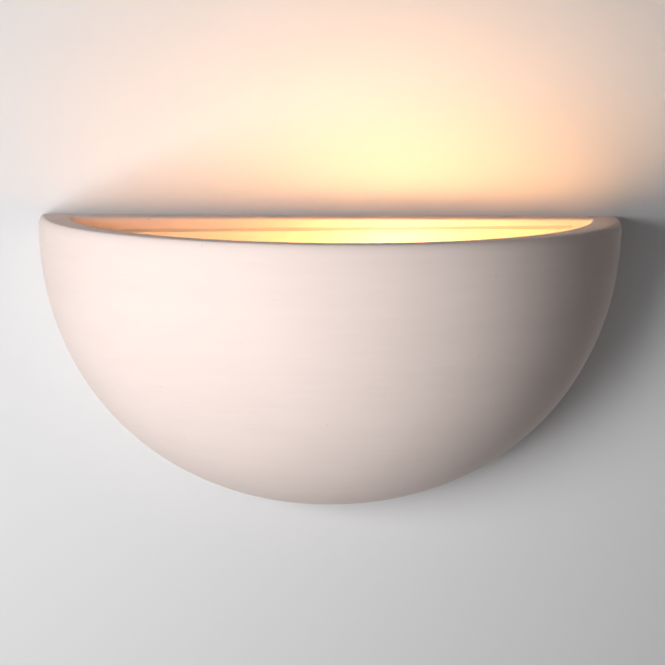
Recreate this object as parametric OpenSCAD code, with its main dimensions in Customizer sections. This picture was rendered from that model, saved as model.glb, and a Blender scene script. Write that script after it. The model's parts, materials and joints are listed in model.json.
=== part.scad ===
// Half-bowl uplighter for a wall: a cast ceramic bowl with a flat back hangs on two
// hooks of a steel wall strap and carries a reflector, a lamp arm, a screw lampholder,
// a lamp and a three-pole terminal block.
// Origin: on the wall plane, midway between the strap's two screw slots.
// X runs along the wall, -Y points into the room, +Z is up.

/* [Bowl] */
// Width of the bowl along the wall
bowl_w = 300; // [270:1:330]
// Height from the rim down to the lowest point
bowl_h = 148.5; // [136:0.5:162]
// Thickness of the curved wall
bowl_t = 12.5; // [9:0.5:15]
// Thickness of the flat back
back_t = 14; // [12:0.5:16]
// Fullness of the section: 2 is an ellipse, more is squarer
fullness = 2.12; // [1.9:0.01:2.4]
// Rounding of the rim's edges
rim_round = 1.6; // [0.5:0.1:3]
// Rim height above the strap's screw slots
rim_z = 46; // [44:1:54]

/* [Back opening] */
// Height of the band of back wall left above the opening
lintel_h = 30; // [26:1:32]
// Width of the opening in the back wall
window_w = 92; // [90:1:100]
// Room in the opening below the lowest lead
window_room = 5; // [4:0.5:9]
// Corner radius of the opening
window_r = 8; // [4:1:12]

/* [Wall strap] */
// Room between the strap and each side of the opening
strap_side = 3; // [2:0.5:4]
// Sheet thickness of the strap
strap_t = 2; // [1.5:0.1:2.5]
// Strap below the screw slots
strap_drop = 16; // [12:1:18]
// Strap above the screw slots, up to where the hooks start
strap_rise = 10; // [8:0.5:11]
// Distance between the screw slots
slot_pitch = 50; // [44:1:52]
// Length of a screw slot
slot_l = 12; // [8:1:14]
// Width of a screw slot
slot_w = 5; // [4:0.1:6]
// Diameter of the cable hole in the strap
cable_hole_d = 16; // [14:1:18]
// Bore of the cable grommet
cable_d = 10; // [7:0.5:11]
// Width of a hook
hook_w = 10; // [7:1:11]
// Room between a hook and the rounding of the opening's corner
hook_side = 1; // [0.5:0.1:2]
// Height of a hook's lip above the seat
hook_lip = 10; // [7:0.5:11]
// Inside bend radius of sheet steel
bend_r = 2; // [1:0.5:2.5]
// How far the bowl lifts to come off the hooks
lift = 12; // [11.5:0.5:14]

/* [Reflector] */
// Radius of the reflector's curved edge
reflector_r = 124; // [114:1:126]
// Sheet thickness of the reflector
reflector_t = 0.8; // [0.5:0.1:1.2]
// Top edge of the reflector below the rim
reflector_top = 5.1; // [3:0.1:8]
// Bottom edge of the reflector below the rim
reflector_bottom = 108; // [104:1:112]
// Lean of the reflector, as it was set by hand
reflector_lean = 0.65; // [0:0.05:1]
// Bore of the grommet that the leads pass through
wire_hole_d = 8.4; // [8.2:0.1:9]

/* [Lamp arm] */
// Lamp axis below the rim
lamp_drop = 56; // [50:1:60]
// Lamp axis away from the wall
lamp_reach = 58; // [54:1:62]
// Left end of the lampholder, from the middle of the bowl
arm_x = 74; // [70:1:76]
// Sheet thickness of the arm
arm_t = 2; // [1.5:0.1:2.5]
// Width of the arm
arm_w = 34; // [30:1:36]
// Length of the arm's foot on the back wall
arm_foot = 30; // [28:1:32]

/* [Lampholder] */
// Outside diameter of the holder
holder_d = 44; // [42:1:48]
// Length of the holder's cap
cap_l = 24; // [23:1:28]
// Length of the holder's skirt
skirt_l = 31; // [29:1:34]
// Bore of the skirt
skirt_bore = 31; // [30:0.5:34]
// Thickness of the insert that carries the contacts
insert_l = 7; // [6:0.5:9]
// Thread diameter of the hollow nipple
nipple_d = 10; // [8:1:12]
// Bore of the nipple
nipple_bore = 7; // [5.8:0.1:8]

/* [Lamp] */
// Diameter of the lamp's bulb
bulb_d = 60; // [50:1:62]
// Length of the lamp
lamp_l = 105; // [98:1:108]
// Diameter of the lamp's screw cap
lamp_cap_d = 26.2; // [25.8:0.1:26.4]
// Length of the lamp's screw cap
lamp_cap_l = 27; // [25:0.5:29]
// Diameter of the bulb's neck
neck_d = 24.4; // [22:0.2:25]
// Radius of the hollow flare from neck to bulb
flare_r = 40; // [30:1:60]
// Glass thickness
glass_t = 0.8; // [0.5:0.1:1.2]
// Lamp screw thread pitch
thread_pitch = 3.629; // [2.822, 3.629]

/* [Terminal block] */
// Distance between poles
pole_pitch = 9; // [8:0.5:10]
// Length of a pole
pole_l = 17; // [14:1:18]
// Height of the block off the reflector
block_h = 10.5; // [9:0.5:11]
// Middle of the block below the strap's slots
block_drop = 36; // [35.5:0.5:37]

/* [Fixings and leads] */
// Thread diameter of the fixing screws
screw_d = 4; // [3:0.5:4]
// Length of the fixing screws
screw_l = 14; // [13:0.5:14.5]
// Distance of the fixing screws from the bowl's middle
screw_x = 90; // [86:1:92]
// Height between two fixing screws
screw_pitch = 20; // [16:1:20]
// Depth of the recesses for the nuts in the back
recess = 7; // [6.5:0.5:8]
// Diameter of an insulated lead
lead_d = 2.2; // [1.8:0.1:2.3]
// Bend radius at the middle of a lead
lead_bend = 3; // [3:0.25:3.5]

/* [Clearances] */
// Hole over the diameter of what passes through it
play = 0.8; // [0.4:0.1:1]
// Gap between bodies that move past each other
run_gap = 0.35; // [0.3:0.01:0.5]

/* [Hidden] */
$fn = 96;
far = 400;
quarter_turn = 90;
half_turn = 180;

// Finishes
ceramic = [0.93, 0.90, 0.87];
zinc = [0.74, 0.75, 0.76];
white_metal = [0.95, 0.94, 0.92];
brass = [0.80, 0.66, 0.36];
rubber = [0.12, 0.12, 0.12];
porcelain = [0.96, 0.95, 0.92];
glass = [0.98, 0.96, 0.90];

// Heights and planes that everything is placed by
bowl_r = bowl_w / 2;
lintel_z = rim_z - lintel_h;
lamp_z = rim_z - lamp_drop;
lamp_y = -lamp_reach;
sheet_y = -back_t;
rim_meet = 9;
face_y = sheet_y - reflector_t;
foot_y = face_y - arm_t;

// Small sizes of the fixings
washer_t = 1;
washer_d = 2.25 * screw_d;
head_h = 0.65 * screw_d;
head_d = 2 * screw_d;
nut_h = 0.8 * screw_d;
nut_d = 2.02 * screw_d;
recess_d = washer_d + 5;
hole_d = screw_d + play;
screw_z = [lamp_z - screw_pitch / 2, lamp_z + screw_pitch / 2];

// Strap details
strap_w = window_w - 2 * strap_side;
strap_corner = 4;
strap_top = lintel_z - strap_t - bend_r;
lip_gap = 2.2;
hook_pitch = window_w - 2 * window_r - hook_w - 2 * hook_side;
lip_y = -back_t - lip_gap;
grommet_lip = 1.5;
earth_x = -13;
earth_z = -9;

// Lampholder stations along the lamp axis, from the arm's face
holder_r = holder_d / 2;
cap_wall = 2.6;
cap_round = 12;
cap_neck_r = 9;
cap_neck_l = 2;
spigot_l = 3;
insert_r = skirt_bore / 2 + 2;
insert_end = cap_l + insert_l;
skirt_end = cap_l + skirt_l;
lamp_cap_r = lamp_cap_d / 2;
shell_r = lamp_cap_r + run_gap;
shell_t = 0.4;
stem_r = 1.7;
spring_room = 5;
spring_r = 3.4;
spring_wall = 0.8;
contact_gap = 0.5;
contact_h = 1.5;
contact_r = 4;
seat = insert_end + contact_gap + contact_h;
lock_t = 0.8;
lock_nut_h = 3.5;
nipple_in = 9;
nipple_r = nipple_d / 2;
nipple_out = arm_t + lock_t + lock_nut_h + 1.5;
terminal_l = 6;
terminal_w = 7;
terminal_h = 8;
terminal_y = 7.5;
terminal_s = cap_l - terminal_l;

// Leads
lead_gap = 0.3;
lead_pitch = lead_d + lead_gap;
bare_d = 0.6 * lead_d;
bare_l = 4;
block_z = -block_drop;
block_bottom = block_z - pole_l / 2;
bore_back = 4;
block_bore_y = sheet_y + bore_back;
row_gap = 0.5;
row_z = [for (i = [0:2]) block_bottom - row_gap - lead_bend - i * lead_pitch];
window_z = row_z[2] - window_room;
window_h = lintel_z - window_z;
wire_x = -34;
tube_d = 4.4;
clamp_d = 2.6;
clamp_z = [-4, 4];
block_screw_d = 3;
grommet_wall = 1.2;
terminal_screw_d = 2.5;
stem_in = 8;
stem_s = lamp_cap_l - stem_in;
stem_len = 35;
wire_gap = 0.3;
support_l = 14;
filament_s = stem_s + stem_len + support_l;
filament_half = 10;
lead_in = 1;
lead_out = 7.2;
lead_y = foot_y - lead_out;
rise_gap = 8;
rise_x = -arm_x - arm_t - rise_gap;
pair_y = 1.5;
tag_gap = 2;
tag_below = 10;
tag_x = -arm_x - arm_t - tag_gap;
tag_y = lead_y - lead_pitch;
tag_z = lamp_z - tag_below;
tag_t = 0.8;
tag_drop = 8;
barrel_l = 6;

// ---- Shared shapes ----

// Points of an arc round c, from angle a to angle b
function arc(c, r, a, b, steps) =
    [for (i = [0:steps]) c + r * [cos(a + (b - a) * i / steps), sin(a + (b - a) * i / steps)]];

module rounded_rect(w, h, r) {
    square([w - 2 * r, h], center = true);
    square([w, h - 2 * r], center = true);
    for (x = [-1, 1], y = [-1, 1]) translate([x * (w / 2 - r), y * (h / 2 - r)]) circle(r);
}

module slot_shape(l, w) {
    square([l - w, w], center = true);
    for (x = [-1, 1]) translate([x * (l - w) / 2, 0]) circle(d = w);
}

// Outline drawn in X and Z, made t thick from the plane y into the room
module upright(y, t) {
    translate([0, y, 0]) rotate([90, 0, 0]) linear_extrude(t) children();
}

// Something drawn along +Z, set to point into the room from x, y, z
module into_room(x, y, z) {
    translate([x, y, z]) rotate([90, 0, 0]) children();
}

// Something drawn along +Z, set on the lamp axis and pointing to the right,
// s from the arm's face
module on_axis(s = 0) {
    translate([s - arm_x, lamp_y, lamp_z]) rotate([0, 90, 0]) children();
}

module ring(outer_d, inner_d, h) {
    difference() {
        cylinder(d = outer_d, h = h);
        translate([0, 0, -1]) cylinder(d = inner_d, h = h + 2);
    }
}

// Quarter of a bent sheet edge, between two radii, in the quadrant given by its signs
module bend_section(inner, outer, sx, sy) {
    intersection() {
        difference() {
            circle(outer);
            circle(inner);
        }
        translate([min(0, sx * outer), min(0, sy * outer)]) square(outer);
    }
}

// Pan-head screw along +Z: its head below the plane z = 0, its shank above it
module pan_screw(d, l) {
    cylinder(d = d, h = l);
    crown = 0.35 * d;
    edge = 0.3 * d;
    dome_r = (pow(d, 2) + pow(crown, 2)) / (2 * crown);
    mirror([0, 0, 1]) cylinder(r = d, h = edge);
    intersection() {
        translate([0, 0, dome_r - edge - crown]) sphere(dome_r);
        mirror([0, 0, 1]) translate([0, 0, edge]) cylinder(r = d, h = crown);
    }
}

module hex_nut(across, h, bore) {
    difference() {
        cylinder(d = across, h = h, $fn = 6);
        translate([0, 0, -1]) cylinder(d = bore, h = h + 2);
    }
}

// The four fixing screw places: x and z
module at_fixings(sides) {
    for (side = sides, z = screw_z) translate([side * screw_x, 0, z]) children();
}

// ---- Bowl ----

// Half section under the rim plane, from the rim to the lowest point, as [radius, height]
function bowl_curve(r, h, first) = let(steps = 34)
    [for (i = [0:steps]) let(a = first + (90 - first) * i / steps)
        [r * pow(cos(a), 2 / fullness), -h * pow(sin(a), 2 / fullness)]];

// Angle on the curve at which it lies the given depth below the rim
function angle_at(h, depth) = asin(pow(depth / h, fullness / 2));

// Solid half section of the outside, with the rim's outer edge rounded
module outer_section() {
    r = rim_round;
    first = angle_at(bowl_h, r);
    edge = bowl_curve(bowl_r, bowl_h, first);
    polygon(concat([[0, 0]], arc([edge[0].x - r, -r], r, quarter_turn, rim_meet, 6), edge));
}

// Half section of the hollow, which flares over the rim's rounded inner edge
module inner_section() {
    r = rim_round;
    first = angle_at(bowl_h - bowl_t, r);
    edge = bowl_curve(bowl_r - bowl_t, bowl_h - bowl_t, first);
    lip = arc([edge[0].x + r, -r], r, quarter_turn, half_turn - rim_meet, 6);
    polygon(concat([[0, 1], [edge[0].x + r, 1]], lip, edge));
}

module in_front_of(y) {
    intersection() {
        children();
        translate([-far / 2, y - far, -far / 2]) cube(far);
    }
}

// Rounds the inner top edge of the back wall, between the ends of the curved wall
module back_edge_cut() {
    r = rim_round;
    intersection() {
        translate([-bowl_r, sheet_y, rim_z]) rotate([90, 0, 90]) linear_extrude(bowl_w)
            difference() {
                translate([-1, -r]) square([r + 1, r + 1]);
                translate([r, -r]) circle(r);
            }
        translate([0, 0, rim_z - 2 * r]) cylinder(r = bowl_r - bowl_t, h = 4 * r, $fn = 240);
    }
}

module bowl() {
    color(ceramic) difference() {
        in_front_of(0) translate([0, 0, rim_z]) rotate_extrude($fn = 240) outer_section();
        in_front_of(sheet_y) translate([0, 0, rim_z]) rotate_extrude($fn = 240) inner_section();
        back_edge_cut();
        translate([0, 0, window_z + window_h / 2]) upright(1, back_t + 2)
            rounded_rect(window_w, window_h, window_r);
        at_fixings([-1, 1]) {
            into_room(0, 1, 0) cylinder(d = hole_d, h = back_t + 2);
            into_room(0, 1, 0) cylinder(d = recess_d, h = recess + 1);
        }
    }
}

// ---- Wall strap ----

// A hook seen from the side, as [y, z]: up from the strap, forward, and up again
module hook_section() {
    outer = strap_t + bend_r;
    translate([-strap_t, strap_rise - 2]) square([strap_t, strap_top - strap_rise + 2]);
    translate([-outer, strap_top]) bend_section(bend_r, outer, 1, 1);
    translate([lip_y + bend_r, lintel_z - strap_t]) square([-lip_y - bend_r - outer, strap_t]);
    translate([lip_y + bend_r, lintel_z + bend_r]) bend_section(bend_r, outer, -1, -1);
    translate([lip_y - strap_t, lintel_z + bend_r]) square([strap_t, hook_lip - bend_r]);
}

module wall_strap() {
    h = strap_drop + strap_rise;
    color(zinc) difference() {
        union() {
            translate([0, 0, strap_rise - h / 2]) upright(0, strap_t)
                rounded_rect(strap_w, h, strap_corner);
            for (side = [-1, 1]) translate([side * hook_pitch / 2 - hook_w / 2, 0, 0])
                rotate([90, 0, 90]) linear_extrude(hook_w) hook_section();
        }
        for (side = [-1, 1]) translate([side * slot_pitch / 2, 0, 0])
            upright(1, strap_t + 2) slot_shape(slot_l, slot_w);
        into_room(0, 1, 0) cylinder(d = cable_hole_d, h = strap_t + 2);
        into_room(earth_x, 1, earth_z) cylinder(d = screw_d, h = strap_t + 2);
    }
}

module cable_grommet() {
    flange_d = cable_hole_d + 4;
    color(rubber) into_room(0, 0, 0) difference() {
        union() {
            cylinder(d = cable_hole_d, h = strap_t);
            translate([0, 0, strap_t]) cylinder(d = flange_d, h = grommet_lip);
        }
        translate([0, 0, -1]) cylinder(d = cable_d, h = strap_t + grommet_lip + 2);
    }
}

module earth_screw() {
    color(brass) translate([earth_x, -strap_t - washer_t, earth_z]) rotate([-90, 0, 0])
        pan_screw(screw_d, strap_t + washer_t);
}

module earth_washer() {
    color(brass) into_room(earth_x, -strap_t, earth_z) ring(washer_d, screw_d, washer_t);
}

// ---- Reflector and its fixings ----

module reflector() {
    h = reflector_bottom - reflector_top;
    hook_room_w = hook_w + 5;
    hook_room_bottom = lintel_z - strap_t - lift - 1;
    hook_room_top = lintel_z + hook_lip + 3;
    color(white_metal) upright(sheet_y, reflector_t) difference() {
        translate([0, rim_z]) rotate(reflector_lean) intersection() {
            circle(reflector_r, $fn = 240);
            translate([0, -reflector_top - h / 2]) square([2 * reflector_r, h], center = true);
        }
        for (side = [-1, 1])
            translate([side * hook_pitch / 2, (hook_room_bottom + hook_room_top) / 2])
                rounded_rect(hook_room_w, hook_room_top - hook_room_bottom, 2);
        for (side = [-1, 1], z = screw_z) translate([side * screw_x, z]) circle(d = hole_d);
        for (side = [-1, 1])
            translate([side * pole_pitch / 2, block_z]) circle(d = block_screw_d + 0.4);
        translate([wire_x, row_z[1]]) circle(d = wire_hole_d + 2 * grommet_wall);
    }
}

module fixing_screws() {
    color(zinc) {
        at_fixings([-1]) translate([0, foot_y, 0]) rotate([-90, 0, 0])
            pan_screw(screw_d, screw_l);
        at_fixings([1]) translate([0, face_y - washer_t, 0]) rotate([-90, 0, 0])
            pan_screw(screw_d, screw_l);
    }
}

module front_washers() {
    color(zinc) at_fixings([1]) into_room(0, face_y, 0) ring(washer_d, screw_d, washer_t);
}

module rear_washers() {
    color(zinc) at_fixings([-1, 1]) into_room(0, washer_t - recess, 0)
        ring(washer_d, screw_d, washer_t);
}

module rear_nuts() {
    color(zinc) at_fixings([-1, 1]) into_room(0, washer_t + nut_h - recess, 0)
        hex_nut(nut_d, nut_h, screw_d);
}

// ---- Lamp arm ----

// The arm seen from above, as [x, y]: a foot on the back wall and an upright
module arm_section() {
    outer = arm_t + bend_r;
    foot_end = -arm_x - arm_foot;
    translate([foot_end, foot_y]) square([arm_foot - outer, arm_t]);
    translate([-arm_x - outer, face_y - outer]) bend_section(bend_r, outer, 1, 1);
    translate([-arm_x - arm_t, lamp_y - arm_w / 2])
        square([arm_t, face_y - outer - lamp_y + arm_w / 2]);
}

// What is cut off a square end to leave a half round of the arm's width
module round_end_cut() {
    translate([-arm_x - 2 * arm_t, lamp_y, lamp_z]) rotate([90, 0, 90])
        linear_extrude(3 * arm_t) difference() {
            translate([-arm_w, -arm_w]) square([arm_w, 2 * arm_w]);
            circle(d = arm_w);
        }
}

module lamp_arm() {
    color(zinc) difference() {
        translate([0, 0, lamp_z - arm_w / 2]) linear_extrude(arm_w) arm_section();
        round_end_cut();
        on_axis(-2 * arm_t) cylinder(d = nipple_d + 0.3, h = 3 * arm_t);
        for (z = screw_z) into_room(-screw_x, face_y + 1, z) cylinder(d = hole_d, h = arm_t + 2);
        translate([-arm_x - 2 * arm_t, tag_y, tag_z]) rotate([0, 90, 0])
            cylinder(d = screw_d + 0.2, h = 3 * arm_t);
    }
}

module nipple() {
    color(zinc) on_axis(-nipple_out) ring(nipple_d, nipple_bore, nipple_out + nipple_in);
}

module lock_washer() {
    color(zinc) on_axis(-arm_t - lock_t) ring(nipple_d + 6, nipple_d, lock_t);
}

module lock_nut() {
    color(brass) on_axis(-arm_t - lock_t - lock_nut_h)
        hex_nut(1.6 * nipple_d, lock_nut_h, nipple_d);
}

// ---- Lampholder ----

// Cap section set in by t, as [radius, station]
module cap_section(t) {
    start = cap_neck_l + t;
    flat_r = holder_r - cap_round;
    translate([0, start]) square([flat_r, cap_l - start + 1]);
    translate([flat_r, cap_neck_l + cap_round])
        intersection() {
            circle(cap_round - t);
            translate([0, -cap_round]) square(cap_round);
        }
    translate([0, cap_neck_l + cap_round])
        square([holder_r - t, cap_l - cap_neck_l - cap_round + 1]);
}

module holder_cap() {
    color(porcelain) on_axis() difference() {
        rotate_extrude() difference() {
            union() {
                square([cap_neck_r, cap_neck_l + cap_wall]);
                cap_section(0);
            }
            cap_section(cap_wall);
            translate([0, cap_l]) square([far, far]);
        }
        translate([0, 0, -1]) cylinder(d = nipple_d, h = cap_l);
    }
}

// Skirt section, as [radius, station]: spigot, seat for the insert, bore and round lip
module holder_skirt() {
    lip = 2;
    bore_r = skirt_bore / 2;
    recess_r = insert_r + 0.3;
    spigot_r = holder_r - cap_wall - 0.3;
    color(porcelain) on_axis() rotate_extrude() {
        translate([recess_r, cap_l - spigot_l]) square([spigot_r - recess_r, spigot_l]);
        translate([recess_r, cap_l]) square([holder_r - recess_r, insert_l]);
        translate([bore_r, insert_end]) square([holder_r - bore_r, skirt_l - insert_l - lip]);
        translate([bore_r, skirt_end - lip]) square([holder_r - lip - bore_r, lip]);
        translate([holder_r - lip, skirt_end - lip]) intersection() {
            circle(lip);
            square(lip);
        }
    }
}

module contact_base() {
    color(porcelain) on_axis(cap_l) difference() {
        cylinder(r = insert_r, h = insert_l);
        translate([0, 0, -1]) cylinder(r = stem_r + run_gap, h = insert_l + 2);
        translate([0, 0, insert_l - spring_room]) cylinder(r = spring_r + 1, h = spring_room + 1);
    }
}

module screw_shell() {
    flange_hole_r = contact_r + 2;
    shell_l = skirt_l - insert_l - 1.5;
    color(brass) on_axis(insert_end) {
        ring(2 * (shell_r + shell_t), 2 * shell_r, shell_l);
        ring(2 * (shell_r + shell_t), 2 * flange_hole_r, shell_t);
    }
}

module contact_spring() {
    color(zinc) on_axis(insert_end - spring_room)
        ring(2 * spring_r, 2 * (spring_r - spring_wall), spring_room + contact_gap - 0.3);
}

module terminals() {
    color(brass) for (side = [-1, 1]) on_axis(terminal_s) difference() {
        translate([-terminal_h / 2, side * terminal_y - terminal_w / 2, 0])
            cube([terminal_h, terminal_w, terminal_l]);
        translate([0, side * terminal_y, -1]) cylinder(d = lead_d + 0.2, h = 2.5);
        translate([0, side * terminal_y, -1]) cylinder(d = bare_d + 0.1, h = terminal_l);
        translate([-terminal_h / 2 - 1, side * terminal_y, terminal_l / 2])
            rotate([0, 90, 0]) cylinder(d = terminal_screw_d, h = terminal_h / 2 - bare_d / 2 + 1);
    }
}

module terminal_screws() {
    color(zinc) for (side = [-1, 1])
        translate([terminal_s + terminal_l / 2 - arm_x, lamp_y + side * terminal_y,
                   lamp_z + terminal_h / 2])
            rotate([180, 0, 0]) pan_screw(terminal_screw_d, terminal_h / 2 - bare_d / 2);
}

// ---- Terminal block behind the reflector ----

module at_poles() {
    for (i = [-1:1]) translate([i * pole_pitch, 0, 0]) children();
}

module terminal_block() {
    house_h = block_h - 3;
    web_h = 5;
    tower_d = 6;
    color(white_metal) difference() {
        union() {
            translate([-pole_pitch, sheet_y, block_z - pole_l / 2 + 1])
                cube([2 * pole_pitch, web_h, pole_l - 2]);
            at_poles() {
                translate([-pole_pitch / 2 + 0.6, sheet_y, block_z - pole_l / 2])
                    cube([pole_pitch - 1.2, house_h, pole_l]);
                for (dz = clamp_z) translate([0, sheet_y, block_z + dz])
                    rotate([-90, 0, 0]) cylinder(d = tower_d, h = block_h);
            }
        }
        at_poles() {
            translate([0, block_bore_y, block_z - pole_l / 2 - 1])
                cylinder(d = tube_d, h = pole_l + 2);
            for (dz = clamp_z) translate([0, block_bore_y, block_z + dz])
                rotate([-90, 0, 0]) cylinder(d = clamp_d + 1, h = block_h);
        }
        for (side = [-1, 1]) translate([side * pole_pitch / 2, sheet_y - 1, block_z])
            rotate([-90, 0, 0]) cylinder(d = block_screw_d, h = web_h + 2);
    }
}

module block_tubes() {
    color(brass) at_poles() difference() {
        translate([0, block_bore_y, block_z - pole_l / 2 + 2])
            cylinder(d = tube_d, h = pole_l - 4);
        translate([0, block_bore_y, block_z - pole_l / 2]) cylinder(d = bare_d + 0.4, h = pole_l);
        for (dz = clamp_z) translate([0, block_bore_y, block_z + dz])
            rotate([-90, 0, 0]) cylinder(d = clamp_d, h = tube_d);
    }
}

module clamp_screws() {
    color(zinc) at_poles() for (dz = clamp_z)
        translate([0, block_bore_y + bare_d / 2, block_z + dz])
            rotate([-90, 0, 0]) cylinder(d = clamp_d, h = block_h - 5.5);
}

module block_screws() {
    color(zinc) for (side = [-1, 1]) translate([side * pole_pitch / 2, face_y, block_z])
        rotate([-90, 0, 0]) pan_screw(block_screw_d, reflector_t + 4.5);
}

module wire_grommet() {
    groove_d = wire_hole_d + 2 * grommet_wall;
    flange_d = wire_hole_d + 4;
    flange_t = 1.2;
    color(rubber) into_room(wire_x, sheet_y + flange_t, row_z[1]) difference() {
        union() {
            cylinder(d = flange_d, h = flange_t);
            cylinder(d = groove_d, h = 2 * flange_t + reflector_t);
            translate([0, 0, flange_t + reflector_t]) cylinder(d = flange_d, h = flange_t);
        }
        translate([0, 0, -1]) cylinder(d = wire_hole_d, h = 2 * flange_t + reflector_t + 2);
    }
}

// ---- Leads ----

// A round bar from a to b
module bar(a, b, d) {
    v = b - a;
    translate(a) rotate([0, acos(v.z / norm(v)), atan2(v.y, v.x)]) cylinder(d = d, h = norm(v));
}

function heading(p, i) = (p[i + 1] - p[i]) / norm(p[i + 1] - p[i]);
function turn_at(p, i) = acos(heading(p, i - 1) * heading(p, i));
function trim_at(p, i) =
    i == 0 || i == len(p) - 1 ? 0 : lead_bend * tan(turn_at(p, i) / 2);

// The bend at point i: a piece of a torus that leaves one straight and meets the next
module lead_corner(p, i) {
    u = heading(p, i - 1);
    v = heading(p, i);
    side = (v - u * (u * v)) / norm(v - u * (u * v));
    start = p[i] - u * trim_at(p, i);
    middle = start + side * lead_bend;
    n = cross(-side, u);
    multmatrix([[-side.x, u.x, n.x, middle.x],
                [-side.y, u.y, n.y, middle.y],
                [-side.z, u.z, n.z, middle.z]])
        rotate_extrude(angle = turn_at(p, i)) translate([lead_bend, 0]) circle(d = lead_d);
}

// An insulated lead through the points p, with a bare end at the start and, if asked, at the end
module lead(p, bare_end) {
    last = len(p) - 1;
    for (i = [0:last - 1])
        if (norm(p[i + 1] - p[i]) > trim_at(p, i) + trim_at(p, i + 1) + 0.001)
            bar(p[i] + heading(p, i) * trim_at(p, i),
                p[i + 1] - heading(p, i) * trim_at(p, i + 1), lead_d);
    for (i = [1:last - 1]) lead_corner(p, i);
    bar(p[0] - heading(p, 0) * bare_l, p[0], bare_d);
    if (bare_end) bar(p[last], p[last] + heading(p, last - 1) * bare_l, bare_d);
}

// From a pole of the block, out through the reflector and up beside the arm to the holder
function lamp_lead(i) = let(
    pole_x = (i - 1) * pole_pitch,
    up_x = rise_x - i * lead_pitch,
    in_y = lamp_y + (1 - 2 * i) * pair_y,
    end_y = lamp_y + (1 - 2 * i) * terminal_y,
    splay_x = nipple_in + lead_in + lead_bend - arm_x
) [
    [pole_x, block_bore_y, block_bottom + lead_in],
    [pole_x, block_bore_y, row_z[i]],
    [wire_x, block_bore_y, row_z[i]],
    [wire_x, lead_y, row_z[i]],
    [up_x, lead_y, row_z[i]],
    [up_x, lead_y, lamp_z],
    [up_x, in_y, lamp_z],
    [splay_x, in_y, lamp_z],
    [splay_x, end_y, lamp_z],
    [terminal_s + lead_in - arm_x, end_y, lamp_z]
];

module live_lead() {
    color("saddlebrown") lead(lamp_lead(0), true);
}

module neutral_lead() {
    color("royalblue") lead(lamp_lead(1), true);
}

module earth_lead() {
    color("yellowgreen") lead([
        [pole_pitch, block_bore_y, block_bottom + lead_in],
        [pole_pitch, block_bore_y, row_z[2]],
        [wire_x, block_bore_y, row_z[2]],
        [wire_x, tag_y, row_z[2]],
        [tag_x, tag_y, row_z[2]],
        [tag_x, tag_y, tag_z - tag_drop]
    ], true);
}

// Ring tag: an eye on the arm's left face and a barrel crimped round the lead
module earth_tag() {
    eye_d = 2.2 * screw_d;
    neck_w = 3;
    neck_l = tag_drop + barrel_l / 2 - eye_d / 4;
    barrel_d = lead_d + 1.3;
    left = -arm_x - arm_t - tag_t;
    barrel_z = tag_z - tag_drop - barrel_l / 2;
    color(zinc) difference() {
        union() {
            translate([left, tag_y, tag_z]) rotate([0, 90, 0]) cylinder(d = eye_d, h = tag_t);
            translate([left, tag_y - neck_w / 2, barrel_z]) cube([tag_t, neck_w, neck_l]);
            translate([tag_x, tag_y, barrel_z]) cylinder(d = barrel_d, h = barrel_l);
        }
        translate([left - 1, tag_y, tag_z]) rotate([0, 90, 0]) cylinder(d = screw_d, h = tag_t + 2);
        translate([tag_x, tag_y, barrel_z - 1]) cylinder(d = lead_d + 0.1, h = barrel_l + 2);
    }
}

module tag_screw() {
    color(zinc) translate([-arm_x - arm_t - tag_t, tag_y, tag_z]) rotate([0, 90, 0])
        pan_screw(screw_d, tag_t + arm_t + nut_h);
}

module tag_nut() {
    color(zinc) translate([-arm_x, tag_y, tag_z]) rotate([0, 90, 0])
        hex_nut(nut_d, nut_h, screw_d);
}

// ---- Contact and lamp, along the lamp axis ----

module centre_contact() {
    stem_l = insert_l;
    color(brass) on_axis(seat - contact_h) {
        cylinder(r = contact_r, h = contact_h);
        translate([0, 0, -stem_l]) cylinder(r = stem_r, h = stem_l);
    }
}

// Lamp outline set in by t, from the station where the glass starts: neck, flare and bulb,
// as [radius, station]
module bulb_section(t, from) {
    bulb_r = bulb_d / 2;
    bulb_s = lamp_l - bulb_r;
    flare_x = neck_d / 2 + flare_r;
    flare_s = bulb_s - sqrt(pow(bulb_r + flare_r, 2) - pow(flare_x, 2));
    lean = atan2(bulb_s - flare_s, flare_x);
    polygon(concat(
        [[0, from], [neck_d / 2 - t, from]],
        arc([flare_x, flare_s], flare_r + t, half_turn, half_turn - lean, 12),
        arc([0, bulb_s], bulb_r - t, 4 - lean, quarter_turn, 28)
    ));
}

module bulb_glass() {
    color(glass) on_axis(seat) rotate_extrude($fn = 120) difference() {
        bulb_section(0, stem_s);
        bulb_section(glass_t, stem_s - 1);
    }
}

module lamp_cap() {
    skirt = 4;
    cone = 3;
    foot_r = lamp_cap_r - 3;
    wall = 0.4;
    color(zinc) on_axis(seat + skirt) rotate_extrude() difference() {
        polygon([[0, 0], [foot_r, 0], [lamp_cap_r, cone], [lamp_cap_r, lamp_cap_l - skirt],
                 [0, lamp_cap_l - skirt]]);
        polygon([[0, -1], [foot_r - wall, -1], [foot_r - wall, 0], [lamp_cap_r - wall, cone],
                 [lamp_cap_r - wall, lamp_cap_l], [0, lamp_cap_l]]);
    }
}

module cap_insulator() {
    top_r = lamp_cap_r - 3.4;
    color([0.06, 0.05, 0.07]) on_axis(seat) rotate_extrude()
        polygon([[0, 1.2], [5, 1.2], [top_r, 4], [top_r, 7], [0, 7]]);
}

module cap_contact() {
    color(zinc) on_axis(seat) rotate_extrude()
        polygon([[0, 0], [3, 0], [4.6, 0.7], [4.6, 1.2], [0, 1.2]]);
}

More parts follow.
